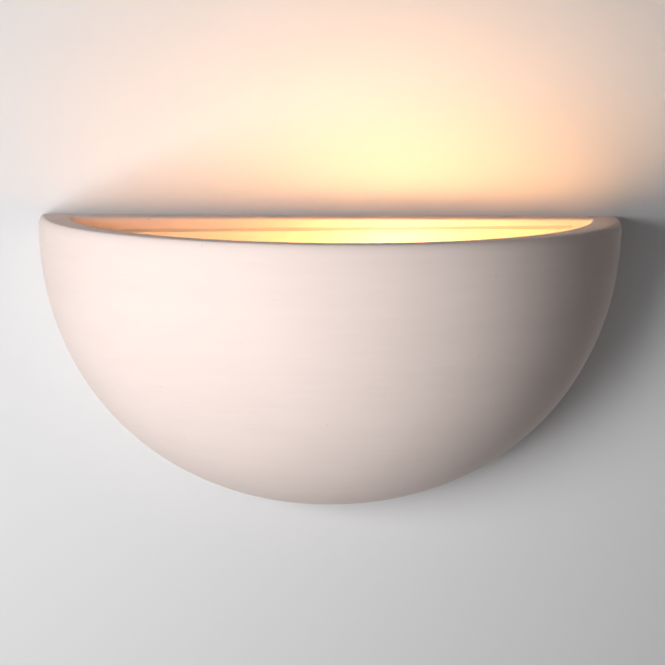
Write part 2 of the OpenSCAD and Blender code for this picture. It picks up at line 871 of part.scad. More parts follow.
// Flared foot sealed to the neck and a solid stem, as [radius, station]
module lamp_stem() {
    foot_r = neck_d / 2 - glass_t;
    rod_r = 4;
    nib_r = 3;
    flare_l = 9;
    nib_l = 3;
    taper_l = 2;
    color(glass) on_axis(seat + stem_s) rotate_extrude()
        polygon([[0, 0], [foot_r, 0], [foot_r, 1], [rod_r, flare_l],
                 [rod_r, stem_len - nib_l - taper_l], [nib_r, stem_len - nib_l],
                 [nib_r, stem_len], [0, stem_len]]);
}

// A point of the lamp: s along its axis from the contact, w across it
function lamp_point(s, w) = [seat + s - arm_x, lamp_y + w, lamp_z];

module support_wires() {
    color(zinc) for (side = [-1, 1])
        bar(lamp_point(stem_s + stem_len + wire_gap, side * 2),
            lamp_point(filament_s, side * filament_half), 0.8);
}

// A shallow arc of wire between the two support wires
module filament() {
    sag = 4;
    r = (pow(filament_half, 2) + pow(sag, 2)) / (2 * sag);
    reach = asin(filament_half / r);
    color(zinc) on_axis(seat + filament_s + 3 * wire_gap + sag - r) rotate([0, -90, 0])
        rotate(-reach) rotate_extrude(angle = 2 * reach) translate([r, 0]) circle(0.6);
}

wall_strap();
cable_grommet();
earth_screw();
earth_washer();
bowl();
reflector();
fixing_screws();
front_washers();
rear_washers();
rear_nuts();
lamp_arm();
nipple();
lock_washer();
lock_nut();
holder_cap();
holder_skirt();
contact_base();
screw_shell();
contact_spring();
terminals();
terminal_screws();
terminal_block();
block_tubes();
clamp_screws();
block_screws();
wire_grommet();
live_lead();
neutral_lead();
earth_lead();
earth_tag();
tag_screw();
tag_nut();
centre_contact();
bulb_glass();
lamp_cap();
cap_insulator();
cap_contact();
lamp_stem();
support_wires();
filament();
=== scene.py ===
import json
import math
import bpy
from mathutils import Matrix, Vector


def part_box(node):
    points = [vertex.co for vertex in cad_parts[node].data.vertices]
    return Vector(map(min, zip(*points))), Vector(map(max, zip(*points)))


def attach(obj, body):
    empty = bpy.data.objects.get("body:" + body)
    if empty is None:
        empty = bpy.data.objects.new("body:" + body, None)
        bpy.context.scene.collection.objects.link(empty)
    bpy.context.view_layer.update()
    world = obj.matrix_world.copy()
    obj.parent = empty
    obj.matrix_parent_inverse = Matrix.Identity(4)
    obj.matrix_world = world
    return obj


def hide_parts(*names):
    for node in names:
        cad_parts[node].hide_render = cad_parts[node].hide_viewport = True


bl_info = {
    "name": "Half bowl uplighter",
    "version": (1, 0, 0),
    "blender": (4, 5, 0),
    "location": "3D View > Sidebar > Uplighter",
    "description": "Dresses a ceramic half bowl wall light, its lamp and its fittings",
    "category": "Add Mesh",
}

import bmesh
import bpy
from bpy.props import FloatProperty, FloatVectorProperty, PointerProperty
from mathutils import Matrix, Vector, noise

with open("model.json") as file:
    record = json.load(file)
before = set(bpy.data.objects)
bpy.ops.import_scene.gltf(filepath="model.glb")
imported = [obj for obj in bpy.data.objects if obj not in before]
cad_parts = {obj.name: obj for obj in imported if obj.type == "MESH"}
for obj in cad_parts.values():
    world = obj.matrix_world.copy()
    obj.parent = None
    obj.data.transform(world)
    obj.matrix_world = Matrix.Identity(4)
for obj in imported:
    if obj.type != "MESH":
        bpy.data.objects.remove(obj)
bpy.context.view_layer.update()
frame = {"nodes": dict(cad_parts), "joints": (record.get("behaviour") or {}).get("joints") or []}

MM = 0.001
TURN = 2 * math.pi
INTO_WALL = (0, 1, 0)
TO_THE_RIGHT = (1, 0, 0)
DOWN = (0, 0, -1)

# Places that everything else is measured from, read from the frame
BOWL_LOW, BOWL_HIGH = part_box("bowl")
RIM_Z = BOWL_HIGH.z
BOWL_R = (BOWL_HIGH.x - BOWL_LOW.x) / 2
BOWL_H = BOWL_HIGH.z - BOWL_LOW.z
INNER_BACK_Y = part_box("reflector")[1].y
LAMP_JOINT = next(j for j in frame["joints"] if j["name"] == "lamp_turn")
LAMP_AXIS_Y, LAMP_AXIS_Z = LAMP_JOINT["pos_m"][1:]


# ---------------------------------------------------------------- sizes and colours


def length_prop(name, description, millimetres):
    """A size that a user may change."""
    return FloatProperty(
        name=name, description=description, default=millimetres * MM, unit="LENGTH"
    )


def angle_prop(name, description, degrees):
    """An angle that a user may change."""
    return FloatProperty(
        name=name, description=description, default=math.radians(degrees), subtype="ANGLE"
    )


def number_prop(name, description, default):
    """A plain number that a user may change."""
    return FloatProperty(name=name, description=description, default=default)


def colour_prop(name, description, *default):
    """A colour that a user may change."""
    return FloatVectorProperty(
        name=name, description=description, default=default, subtype="COLOR"
    )


class BowlSettings(bpy.types.PropertyGroup):
    wall: length_prop("Wall", "Thickness of the curved wall", 12.5)
    end_wall: length_prop("Wall at the ends", "Thickness of that wall at the back", 15.5)
    fullness: number_prop("Fullness", "Shape of the section, where 2 is an ellipse", 2.12)
    rim_round: length_prop("Rim rounding", "Radius of the rim's inner edge", 1.6)
    rim_fall: length_prop("Rim fall", "Height of the rim's rounded outer edge", 5.5)
    rim_inset: length_prop("Rim inset", "Width of the rim's rounded outer edge", 2.6)
    back_round: length_prop("Back rounding", "Radius of the edge between curved wall and back", 2.5)
    window_w: length_prop("Opening width", "Width of the opening in the back", 92)
    window_low: length_prop("Opening bottom", "Lower edge of the opening", -58)
    window_high: length_prop("Opening top", "Upper edge of the opening", 16)
    window_r: length_prop("Opening corners", "Corner radius of the opening", 8)
    uneven: length_prop("Unevenness", "How far the hand-finished surface wanders", 0.22)
    lip: length_prop("Reflector lip", "Height over which the reflector's top edge thins out", 1.6)
    clay: colour_prop("Clay", "Colour of the fired clay", 0.90, 0.77, 0.72)
    # Clay in pits: the darker tone of the streaks, and also the painted shade inside the pits
    clay_dark: colour_prop("Clay in pits", "Colour of pits and streaks", 0.66, 0.55, 0.50)


class LampSettings(bpy.types.PropertyGroup):
    glow: colour_prop("Glow", "Colour of the lit bulb", 1.0, 0.47, 0.085)
    hot: colour_prop("Hot middle", "Colour of the bulb round its filament", 1.0, 0.62, 0.28)
    strength: number_prop("Strength", "Brightness of the lit bulb", 16.8)
    pitch: length_prop("Thread pitch", "Advance of the lamp in one turn", 3.629)
    thread_depth: length_prop("Thread depth", "From crest to root of the rolled thread", 0.9)


class StudioSettings(bpy.types.PropertyGroup):
    wall_colour: colour_prop("Wall", "Colour of the backdrop", 0.80, 0.80, 0.81)
    floor_colour: colour_prop("Floor", "Colour of the floor", 0.78, 0.77, 0.75)
    floor_drop: length_prop("Mounting height", "Floor below the wall screws", 1650)
    key_power: number_prop("Key light", "Power of the key light", 5.5)
    front_power: number_prop("Front light", "Power of the front light", 0.42)
    back_power: number_prop("Back light", "Power of the light behind the wall", 5.0)
    sky: number_prop("Fill", "Brightness of the even fill light", 0.04)
    seen_sky: number_prop("Background", "Brightness of the background that the camera sees", 0.62)
    camera_distance: length_prop("Distance", "Camera to the middle of the light", 1500)
    camera_azimuth: angle_prop("Azimuth", "Camera to the right of the middle", -2.97)
    camera_elevation: angle_prop("Elevation", "Camera above the middle", 8.27)
    camera_roll: angle_prop("Roll", "Camera turned about its own axis", 0.46)
    lens: FloatProperty(
        name="Lens", description="Focal length for a 36 mm frame", default=161.5, unit="CAMERA"
    )


# ---------------------------------------------------------------- making meshes


def add_object(name, data):
    """Puts a mesh, a light or a camera into the scene."""
    made = bpy.data.objects.new(name, data)
    bpy.context.scene.collection.objects.link(made)
    return made


def smooth_up_to(mesh, angle):
    """Shades a mesh smooth, with sharp edges above an angle in degrees."""
    mesh.shade_smooth()
    mesh.set_sharp_from_angle(angle=math.radians(angle))


def piece_from(name, points, faces, smooth_angle=40):
    """A new mesh object from points and faces, in the part's frame, smooth up to an angle."""
    mesh = bpy.data.meshes.new(name)
    mesh.from_pydata([tuple(p) for p in points], [], faces)
    mesh.validate()
    skin = bmesh.new()
    skin.from_mesh(mesh)
    bmesh.ops.recalc_face_normals(skin, faces=skin.faces)
    skin.to_mesh(mesh)
    skin.free()
    smooth_up_to(mesh, smooth_angle)
    return add_object(name, mesh)


def loft(rings, closed=False, caps=True):
    """Points and faces of a skin over rings of equal length; closed joins last ring to first."""
    count = len(rings[0])
    points = [p for ring in rings for p in ring]
    faces = []
    last = len(rings) if closed else len(rings) - 1
    for i in range(last):
        a = i * count
        b = (i + 1) % len(rings) * count
        for j in range(count):
            k = (j + 1) % count
            faces.append((a + j, a + k, b + k, b + j))
    if caps and not closed:
        faces.append(tuple(reversed(range(count))))
        faces.append(tuple(range(len(points) - count, len(points))))
    return points, faces


def joined(name, parts, smooth_angle=40):
    """One object from several (points, faces) lists."""
    points = []
    faces = []
    for part_points, part_faces in parts:
        start = len(points)
        points.extend(part_points)
        faces.extend(tuple(i + start for i in face) for face in part_faces)
    return piece_from(name, points, faces, smooth_angle)


def facing(origin, along):
    """A matrix that takes local Z to the given direction, at the given place."""
    turn = Vector((0, 0, 1)).rotation_difference(Vector(along)).to_matrix().to_4x4()
    return Matrix.Translation(origin) @ turn


def around(radius, angle, station):
    """A point on a circle about local Z."""
    return Vector((radius * math.cos(angle), radius * math.sin(angle), station))


def lathe_rings(profile, place, sides):
    """Rings of a body of revolution: the profile is a list of (radius, station)."""
    return [
        [place @ around(r, TURN * j / sides, s) for j in range(sides)]
        for r, s in profile
    ]


def changing_rings(place, sides, section):
    """Rings of a closed body whose section, a list of (radius, station), changes with the side."""
    columns = [
        [place @ around(r, TURN * j / sides, s) for r, s in section(j)]
        for j in range(sides)
    ]
    return [list(ring) for ring in zip(*columns)]


def arc(centre, radius, first, last, steps):
    """Points along an arc, with angles in degrees."""
    spread = [math.radians(first + (last - first) * i / steps) for i in range(steps + 1)]
    return [(centre[0] + radius * math.cos(a), centre[1] + radius * math.sin(a)) for a in spread]


def tube(path, radius, sides):
    """A tube along a list of points, with flat ends."""
    rings = []
    side = None
    for i, point in enumerate(path):
        ahead = (path[min(i + 1, len(path) - 1)] - path[max(i - 1, 0)]).normalized()
        if side is None:
            side = ahead.orthogonal().normalized()
        side = (side - ahead * side.dot(ahead)).normalized()
        other = ahead.cross(side)
        offsets = [around(1.0, TURN * j / sides, 0.0) for j in range(sides)]
        rings.append([point + (side * o.x + other * o.y) * radius for o in offsets])
    return loft(rings)


def cut_away(piece, cutters):
    """Cuts other pieces out of a piece, bakes the cuts into its mesh and removes the cutters."""
    for cutter in cutters:
        cut = piece.modifiers.new("Cut", "BOOLEAN")
        cut.operation = "DIFFERENCE"
        cut.solver = "EXACT"
        cut.object = cutter
    bpy.context.view_layer.update()
    graph = bpy.context.evaluated_depsgraph_get()
    mesh = bpy.data.meshes.new_from_object(piece.evaluated_get(graph))
    piece.modifiers.clear()
    piece.data = mesh
    for cutter in cutters:
        bpy.data.objects.remove(cutter)


def soften_edges(width, *nodes):
    """A small bevel on the sharp edges of CAD nodes."""
    for name in nodes:
        bevel = frame["nodes"][name].modifiers.new("Softened edges", "BEVEL")
        bevel.width = width
        bevel.segments = 2
        bevel.limit_method = "ANGLE"
        bevel.angle_limit = math.radians(50)
        bevel.harden_normals = True


def dress(piece, material, body, slot, *nodes):
    """Gives a new piece its material and its body, and hides the nodes that it stands for; the slot
    is not used.
    """
    piece.data.materials.clear()
    piece.data.materials.append(material)
    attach(piece, body)
    if nodes:
        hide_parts(*nodes)


def repaint(material, *nodes):
    """Gives CAD nodes a material."""
    for name in nodes:
        node = frame["nodes"][name]
        node.data.materials.clear()
        node.data.materials.append(material)


# ---------------------------------------------------------------- making materials

METAL = {"Metallic": 1.0}
SHEEN = 0.75  # metal sheen of the reflector's upright faces
COOLER = 0.24  # how far under the ball the bulb starts to dim, as a share of its length

# Light and dark colour, least and most roughness, patches and grains to the metre, bump, and
# what is set on the shader itself
FINISHES = {
    "Bright zinc": ((0.66, 0.67, 0.69), (0.52, 0.53, 0.54), 0.24, 0.42, 45, 700, 0.15, METAL),
    "Drawn brass": ((0.76, 0.58, 0.28), (0.60, 0.43, 0.19), 0.22, 0.42, 80, 800, 0.1, METAL),
    "Drawn wire": ((0.55, 0.55, 0.56), (0.42, 0.41, 0.41), 0.25, 0.45, 200, 1500, 0.1, METAL),
    "Tin plate": ((0.70, 0.70, 0.68), (0.55, 0.55, 0.53), 0.35, 0.55, 120, 900, 0.15, METAL),
    "Soft solder": ((0.62, 0.62, 0.63), (0.45, 0.45, 0.46), 0.3, 0.55, 300, 900, 0.3, METAL),
    "Rolled lamp cap": ((0.74, 0.74, 0.75), (0.62, 0.62, 0.63), 0.2, 0.35, 120, 900, 0.1, METAL),
    "Filament wire": ((0.35, 0.33, 0.31), (0.25, 0.24, 0.23), 0.4, 0.6, 300, 900, 0.1, METAL),
    "Black rubber": (
        (0.035, 0.035, 0.036), (0.022, 0.022, 0.022), 0.6, 0.8, 150, 1200, 0.3, {}
    ),
    "Natural nylon": ((0.80, 0.79, 0.73), (0.72, 0.70, 0.63), 0.3, 0.45, 90, 1200, 0.15, {}),
    "Glazed porcelain": (
        (0.86, 0.84, 0.79), (0.82, 0.79, 0.73), 0.08, 0.16, 40, 500, 0.05, {"Coat Weight": 0.4}
    ),
    # The reflector is a white sheet: its warm cream colour is painted lamp glow
    "Satin reflector with painted glow": (
        (0.95, 0.88, 0.76), (0.92, 0.84, 0.71), 0.28, 0.40, 50, 650, 0.15, {}
    ),
    "Black glass": (
        (0.02, 0.02, 0.025), (0.012, 0.012, 0.014), 0.06, 0.15, 150, 900, 0.05, {}
    ),
    "Clear lead glass": (
        (0.95, 0.97, 0.96), (0.93, 0.95, 0.94), 0.02, 0.06, 60, 600, 0.02,
        {"Transmission Weight": 0.9},
    ),
    "Brown sleeve": ((0.20, 0.085, 0.04), (0.15, 0.06, 0.03), 0.35, 0.5, 120, 1500, 0.1, {}),
    "Blue sleeve": ((0.05, 0.14, 0.40), (0.03, 0.10, 0.30), 0.35, 0.5, 120, 1500, 0.1, {}),
}


def feed(node, inputs):
    """Sets a node's inputs, each from a value or from the socket that it is linked to."""
    for name, value in inputs.items():
        if isinstance(value, bpy.types.NodeSocket):
            node.id_data.links.new(value, node.inputs[name])
        else:
            node.inputs[name].default_value = value


def put(tree, kind, inputs=None, **settings):
    """Adds a shader node with its settings and its inputs."""
    node = tree.nodes.new(kind)
    for name, value in settings.items():
        setattr(node, name, value)
    feed(node, inputs or {})
    return node


def object_place(tree):
    """The place on the piece, in metres."""
    return put(tree, "ShaderNodeTexCoord").outputs["Object"]


def noise_at(tree, vector, scale, detail, roughness=0.5):
    """Noise between 0 and 1, its scale in swells to the metre."""
    inputs = {"Vector": vector, "Scale": scale, "Detail": detail, "Roughness": roughness}
    return put(tree, "ShaderNodeTexNoise", inputs).outputs["Fac"]


def remap(tree, value, from_min=0.0, from_max=1.0, to_min=0.0, to_max=1.0):
    """A value taken from one range to another, and kept inside it."""
    inputs = {
        "Value": value, "From Min": from_min, "From Max": from_max,
        "To Min": to_min, "To Max": to_max,
    }
    return put(tree, "ShaderNodeMapRange", inputs).outputs["Result"]


def maths(tree, operation, first, second, **settings):
    """The result of a sum or a product."""
    inputs = {0: first, 1: second}
    return put(tree, "ShaderNodeMath", inputs, operation=operation, **settings).outputs["Value"]


def blend(tree, kind, factor, first, second):
    """A mix of two colours or of two numbers."""
    inputs = {"Factor": factor, "A": first, "B": second}
    return put(tree, "ShaderNodeMix", inputs, data_type=kind).outputs["Result"]


def part_of(tree, vector, axis):
    """One coordinate of a vector."""
    return put(tree, "ShaderNodeSeparateXYZ", {"Vector": vector}).outputs[axis]


def new_group(name, inputs):
    """A shader group that puts out colour, roughness and height; and its two end nodes."""
    group = bpy.data.node_groups.new(name, "ShaderNodeTree")
    for socket, kind, value in inputs:
        made = group.interface.new_socket(socket, in_out="INPUT", socket_type=kind)
        made.default_value = value
    for socket, kind in (
        ("Color", "NodeSocketColor"),
        ("Roughness", "NodeSocketFloat"),
        ("Height", "NodeSocketFloat"),
    ):
        group.interface.new_socket(socket, in_out="OUTPUT", socket_type=kind)
    return group, put(group, "NodeGroupInput").outputs, put(group, "NodeGroupOutput")


def mottle_group():
    """Soft patches and fine grain: a colour between two, a roughness between two, a height."""
    found = bpy.data.node_groups.get("Mottle")
    if found:
        return found
    group, given, out = new_group(
        "Mottle",
        [
            ("Light", "NodeSocketColor", (0.8, 0.8, 0.8, 1)),
            ("Dark", "NodeSocketColor", (0.5, 0.5, 0.5, 1)),
            ("Patches per metre", "NodeSocketFloat", 60.0),
            ("Grains per metre", "NodeSocketFloat", 900.0),
            ("Smooth", "NodeSocketFloat", 0.3),
            ("Rough", "NodeSocketFloat", 0.5),
        ],
    )
    place = object_place(group)
    patches = remap(group, noise_at(group, place, given["Patches per metre"], 3.0, 0.55), 0.35, 0.7)
    grain = noise_at(group, place, given["Grains per metre"], 2.0, 0.6)
    feed(out, {
        "Color": blend(group, "RGBA", patches, given["Light"], given["Dark"]),
        "Roughness": blend(group, "FLOAT", grain, given["Smooth"], given["Rough"]),
        "Height": grain,
    })
    return group


def cast_group():
    """Marks of a cast and fettled clay surface: level streaks, clouds and sunk pits, the pits
    darkened with painted shade.
    """
    group, given, out = new_group(
        "Cast clay",
        [
            ("Clay", "NodeSocketColor", (0.8, 0.7, 0.65, 1)),
            ("Dark", "NodeSocketColor", (0.6, 0.5, 0.46, 1)),
            ("Streak depth", "NodeSocketFloat", 0.17),
            ("Pit shade depth", "NodeSocketFloat", 0.55),
        ],
    )
    # Streaks run level, because the texture is stretched in plan
    place = object_place(group)
    flat = put(group, "ShaderNodeMapping", {"Vector": place, "Scale": (0.07, 0.07, 1.0)})
    streaks = noise_at(group, flat.outputs["Vector"], 620.0, 4.0, 0.65)
    bands = noise_at(group, flat.outputs["Vector"], 90.0, 2.0)
    clouds = noise_at(group, place, 16.0, 3.0)
    speck = noise_at(group, place, 1500.0, 2.0, 0.7)

    # Pits are the middles of a few cells, picked by the cells' own colour
    cells = put(group, "ShaderNodeTexVoronoi", {"Vector": place, "Scale": 150.0}).outputs
    chance = put(group, "ShaderNodeSeparateColor", {"Color": cells["Color"]}).outputs["Red"]
    near = remap(group, cells["Distance"], 0.10, 0.03)
    pits = maths(group, "MULTIPLY", near, remap(group, chance, 0.66, 0.80))

    # Streaks, bands and clouds together stain the clay, and painted shade makes the pits darker
    # still
    marks = maths(group, "ADD", maths(group, "ADD", streaks, bands), clouds)
    stain = maths(group, "MULTIPLY", remap(group, marks, 1.1, 1.9), given["Streak depth"])
    # Painted shade inside the sunk pits
    pit_shade = maths(group, "MULTIPLY", pits, given["Pit shade depth"])
    total = maths(group, "ADD", stain, pit_shade, use_clamp=True)

    # Streaks and specks stand up, and pits are sunk
    raised = maths(group, "ADD", maths(group, "MULTIPLY", speck, 0.35), streaks)
    feed(out, {
        "Color": blend(group, "RGBA", total, given["Clay"], given["Dark"]),
        "Roughness": remap(group, speck, to_min=0.78, to_max=0.95),
        "Height": maths(group, "SUBTRACT", raised, pits),
    })
    return group


def shader_of(material):
    """The Principled shader of a material."""
    return next(n for n in material.node_tree.nodes if n.type == "BSDF_PRINCIPLED")


def new_material(name, inputs):
    """A new material with its tree and its Principled shader, which gets the given inputs."""
    material = bpy.data.materials.new(name)
    material.use_nodes = True
    shader = shader_of(material)
    feed(shader, inputs)
    return material, material.node_tree, shader


def bump_into(shader, height, strength, distance):
    """Feeds a height through a Bump node into the shader's normal."""
    inputs = {"Height": height, "Strength": strength, "Distance": distance}
    bump = put(shader.id_data, "ShaderNodeBump", inputs)
    feed(shader, {"Normal": bump.outputs["Normal"]})


def finish(name):
    """The material of a name in FINISHES: soft patches, grained roughness and a fine bump."""
    found = bpy.data.materials.get(name)
    if found:
        return found
    light, dark, smooth, rough, patches, grains, bump, own = FINISHES[name]
    material, tree, shader = new_material(name, own)
    inputs = {
        "Light": (*light, 1), "Dark": (*dark, 1), "Smooth": smooth, "Rough": rough,
        "Patches per metre": patches, "Grains per metre": grains,
    }
    mottle = put(tree, "ShaderNodeGroup", inputs, node_tree=mottle_group()).outputs
    feed(shader, {"Base Color": mottle["Color"], "Roughness": mottle["Roughness"]})
    bump_into(shader, mottle["Height"], bump, 0.1 * MM)
    return material


def satin_white():
    """Pale satin sheet tinted warm as painted lamp glow, with some metal sheen, matte where a
    surface looks upwards.
    """
    material = finish("Satin reflector with painted glow")
    tree = material.node_tree
    normal = put(tree, "ShaderNodeNewGeometry").outputs["True Normal"]
    sheen = remap(tree, part_of(tree, normal, "Z"), 0.1, 0.3, SHEEN, 0.0)
    feed(shader_of(material), {"Metallic": sheen})
    return material


def striped_sleeve():
    """Green sleeve with yellow stripes, cut from slanting bands."""
    material, tree, shader = new_material("Green and yellow sleeve", {"Roughness": 0.42})
    stripes = put(
        tree, "ShaderNodeTexWave",
        {"Vector": object_place(tree), "Scale": 110.0, "Distortion": 0.4, "Detail": 0.0},
        wave_type="BANDS", bands_direction="DIAGONAL",
    )
    ramp = put(tree, "ShaderNodeValToRGB", {"Fac": stripes.outputs["Fac"]})
    ramp.color_ramp.interpolation = "CONSTANT"
    green, yellow = ramp.color_ramp.elements
    green.color = (0.05, 0.30, 0.07, 1)
    yellow.position = 0.55
    yellow.color = (0.80, 0.66, 0.05, 1)
    feed(shader, {"Base Color": ramp.outputs["Color"]})
    return material


def bisque(settings):
    """Matte unglazed clay."""
    material, tree, shader = new_material(
        "Bisque ceramic", {"Specular IOR Level": 0.25, "Diffuse Roughness": 0.25}
    )
    inputs = {"Clay": (*settings.clay, 1), "Dark": (*settings.clay_dark, 1)}
    cast = put(tree, "ShaderNodeGroup", inputs, node_tree=cast_group()).outputs
    feed(shader, {"Base Color": cast["Color"], "Roughness": cast["Roughness"]})
    bump_into(shader, cast["Height"], 0.5, 0.14 * MM)
    return material


def lit_glass(settings, neck_x, ball_x, crown_x):
    """Opal bulb, lit: hottest round the ball, fading towards the neck."""
    material, tree, shader = new_material(
        "Lit opal glass",
        {
            "Base Color": (0.93, 0.90, 0.84, 1), "Roughness": 0.35,
            "Emission Strength": settings.strength,
        },
    )
    along = remap(tree, part_of(tree, object_place(tree), "X"), neck_x, crown_x)
    ramp = put(tree, "ShaderNodeValToRGB", {"Fac": along})
    red, green, blue = settings.glow
    crown_colour = (0.85 * red, 0.85 * green, 0.85 * blue, 1)
    ball = (ball_x - neck_x) / (crown_x - neck_x)
    neck, crown = ramp.color_ramp.elements
    neck.color = (0.25 * red, 0.18 * green, 0.10 * blue, 1)
    crown.color = crown_colour
    ramp.color_ramp.elements.new(ball - COOLER).color = crown_colour
    ramp.color_ramp.elements.new(ball).color = (*settings.hot, 1)
    feed(shader, {"Emission Color": ramp.outputs["Color"]})
    return material


# ---------------------------------------------------------------- the bowl

EDGE_STEPS = 10
WALL_LEVELS = 110
BACK_STEPS = 72
FRONT_STEPS = 200
LOWEST_RING_R = 0.3 * MM
HOLLOW_FLOOR_ROOM = 2.5 * MM
HOLLOW_CORNER_R = 1.0 * MM
STILL_BAND = 2 * MM
WANDER_FADE = 12 * MM
DRIFT = 22.0  # slow swells to the metre
RIPPLE = 160.0  # level ripples to the metre
INWARDS = 0.6  # keeps the wander mostly inside the solid's outline
CUTTER_REACH = 4 * MM
SCREW_HOLE_R = 2.4 * MM
RECESS_R = 7 * MM


def superellipse(radius, depth, fullness, angle):
    """A point of the section under the rim, as (radius, depth below the rim)."""
    return (
        radius * max(math.cos(angle), 0.0) ** (2 / fullness),
        depth * math.sin(angle) ** (2 / fullness),
    )


def section_levels(radius, depth, fullness, fall, width, stop_radius):
    """Levels of one skin from the rim down, as (radius, height, inset of the straight back).

    The rounded edge is fall high and width wide; a negative width makes it narrow the skin.
    """
    first = math.asin((fall / depth) ** (fullness / 2))
    start, _ = superellipse(radius, depth, fullness, first)
    levels = []
    for i in range(EDGE_STEPS):
        a = math.radians(90 * i / EDGE_STEPS)
        inset = width * (1 - math.sin(a))
        levels.append((start + inset, -fall * (1 - math.cos(a)), inset))
    for i in range(WALL_LEVELS + 1):
        a = first + (math.pi / 2 - first) * (i / WALL_LEVELS)
        r, d = superellipse(radius, depth, fullness, a)
        if r <= stop_radius:
            break
        levels.append((r, -d, 0.0))
    return levels


def half_loop(radius, back_y, corner):
    """A loop in plan: along the straight back from left to right, then round the front.

    The two corners at the back are rounded where the radius leaves room for it.
    """
    corner = min(corner, 0.3 * radius)
    lean = math.asin(min(1.0, (corner - back_y) / (radius - corner)))
    end = Vector(((radius - corner) * math.cos(lean), -(radius - corner) * math.sin(lean)))
    loop = [(end.x * (2 * i / BACK_STEPS - 1), back_y) for i in range(BACK_STEPS)]
    for i in range(EDGE_STEPS):
        a = math.pi / 2 - (math.pi / 2 + lean) * i / EDGE_STEPS
        loop.append((end.x + corner * math.cos(a), end.y + corner * math.sin(a)))
    for i in range(FRONT_STEPS + 1):
        a = -lean - (math.pi - 2 * lean) * i / FRONT_STEPS
        loop.append((radius * math.cos(a), radius * math.sin(a)))
    for i in range(1, EDGE_STEPS):
        a = math.pi + lean - (math.pi / 2 + lean) * i / EDGE_STEPS
        loop.append((-end.x + corner * math.cos(a), end.y + corner * math.sin(a)))
    return loop


def hand_made(point, amount, back_y):
    """Moves a point of the curved wall by a slow wander, mostly inwards and not at the back."""
    away = min(1.0, max(0.0, (back_y - point.y) / WANDER_FADE))
    drift = noise.noise(Vector((point.x, point.y, point.z * 1.6)) * DRIFT)
    ripple = noise.noise(Vector((point.x * 0.25, point.y * 0.25, point.z)) * RIPPLE)
    out = Vector((point.x, point.y, 0.35 * (point.z - RIM_Z)))
    if out.length < 1e-6:
        return point
    return point + out.normalized() * amount * away * (drift + 0.25 * ripple - INWARDS)


def bowl_rings(settings):
    """Rings of the whole bowl: up the outside, over the rim and down the hollow."""
    outer = section_levels(
        BOWL_R, BOWL_H, settings.fullness, settings.rim_fall, -settings.rim_inset, LOWEST_RING_R
    )
    inner = section_levels(
        BOWL_R - settings.wall, BOWL_H - settings.wall, settings.fullness,
        settings.rim_round, settings.rim_round, HOLLOW_FLOOR_ROOM - INNER_BACK_Y,
    )
    narrow = (BOWL_R - settings.end_wall) / (BOWL_R - settings.wall)
    rings = []
    for r, z, _ in reversed(outer):
        loop = half_loop(r, 0.0, settings.back_round)
        points = [Vector((x, y, RIM_Z + z)) for x, y in loop]
        rings.append([hand_made(p, settings.uneven, -STILL_BAND) for p in points])
    for r, z, inset in inner:
        loop = half_loop(r, INNER_BACK_Y + inset, HOLLOW_CORNER_R)
        points = [Vector((narrow * x, y, RIM_Z + z)) for x, y in loop]
        rings.append([hand_made(p, settings.uneven, INNER_BACK_Y - STILL_BAND) for p in points])
    return rings


def rounded_prism(name, low, high, radius, front_y, back_y):
    """A prism along Y with rounded corners."""
    corners = [
        ((high[0] - radius, high[1] - radius), 0),
        ((low[0] + radius, high[1] - radius), 90),
        ((low[0] + radius, low[1] + radius), 180),
        ((high[0] - radius, low[1] + radius), 270),
    ]
    outline = [p for centre, first in corners for p in arc(centre, radius, first, first + 90, 8)]
    rings = [[Vector((x, y, z)) for x, z in outline] for y in (front_y, back_y)]
    return piece_from(name, *loft(rings))


def screw_places():
    """Middles of the four fixing screws: x and z."""
    low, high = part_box("rear_washers")
    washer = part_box("front_washers")
    radius = (washer[1].x - washer[0].x) / 2
    return [
        (x, z)
        for x in (low.x + radius, high.x - radius)
        for z in (low.z + radius, high.z - radius)
    ]


def round_cutter(name, x, z, radius, front_y, back_y):
    """A round bar along Y."""
    profile = [(radius, 0), (radius, back_y - front_y)]
    return piece_from(name, *loft(lathe_rings(profile, facing((x, front_y, z), INTO_WALL), 40)))


class UPLIGHTER_OT_bowl(bpy.types.Operator):
    """Makes the cast half bowl with its opening, screw holes and recesses"""

    bl_idname = "uplighter.bowl"
    bl_label = "Cast bowl"

    def execute(self, context):
        settings = context.scene.uplighter_bowl
        bowl = piece_from("cast_bowl", *loft(bowl_rings(settings)), smooth_angle=35)
        front = INNER_BACK_Y - CUTTER_REACH
        cutters = [
            rounded_prism(
                "window_cutter",
                (-settings.window_w / 2, settings.window_low),
                (settings.window_w / 2, settings.window_high),
                settings.window_r, front, CUTTER_REACH,
            )
        ]
        recess_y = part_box("rear_washers")[0].y
        for x, z in screw_places():
            cutters.append(round_cutter("hole_cutter", x, z, SCREW_HOLE_R, front, CUTTER_REACH))
            cutters.append(round_cutter("recess_cutter", x, z, RECESS_R, recess_y, CUTTER_REACH))
        cut_away(bowl, cutters)
        smooth_up_to(bowl.data, 35)
        dress(bowl, bisque(settings), "bowl_unit", "bisque_ceramic", "bowl")
        return {"FINISHED"}


# ---------------------------------------------------------------- sheet metal and moulded parts

WELD = 0.001 * MM
NEAR = 0.1 * MM


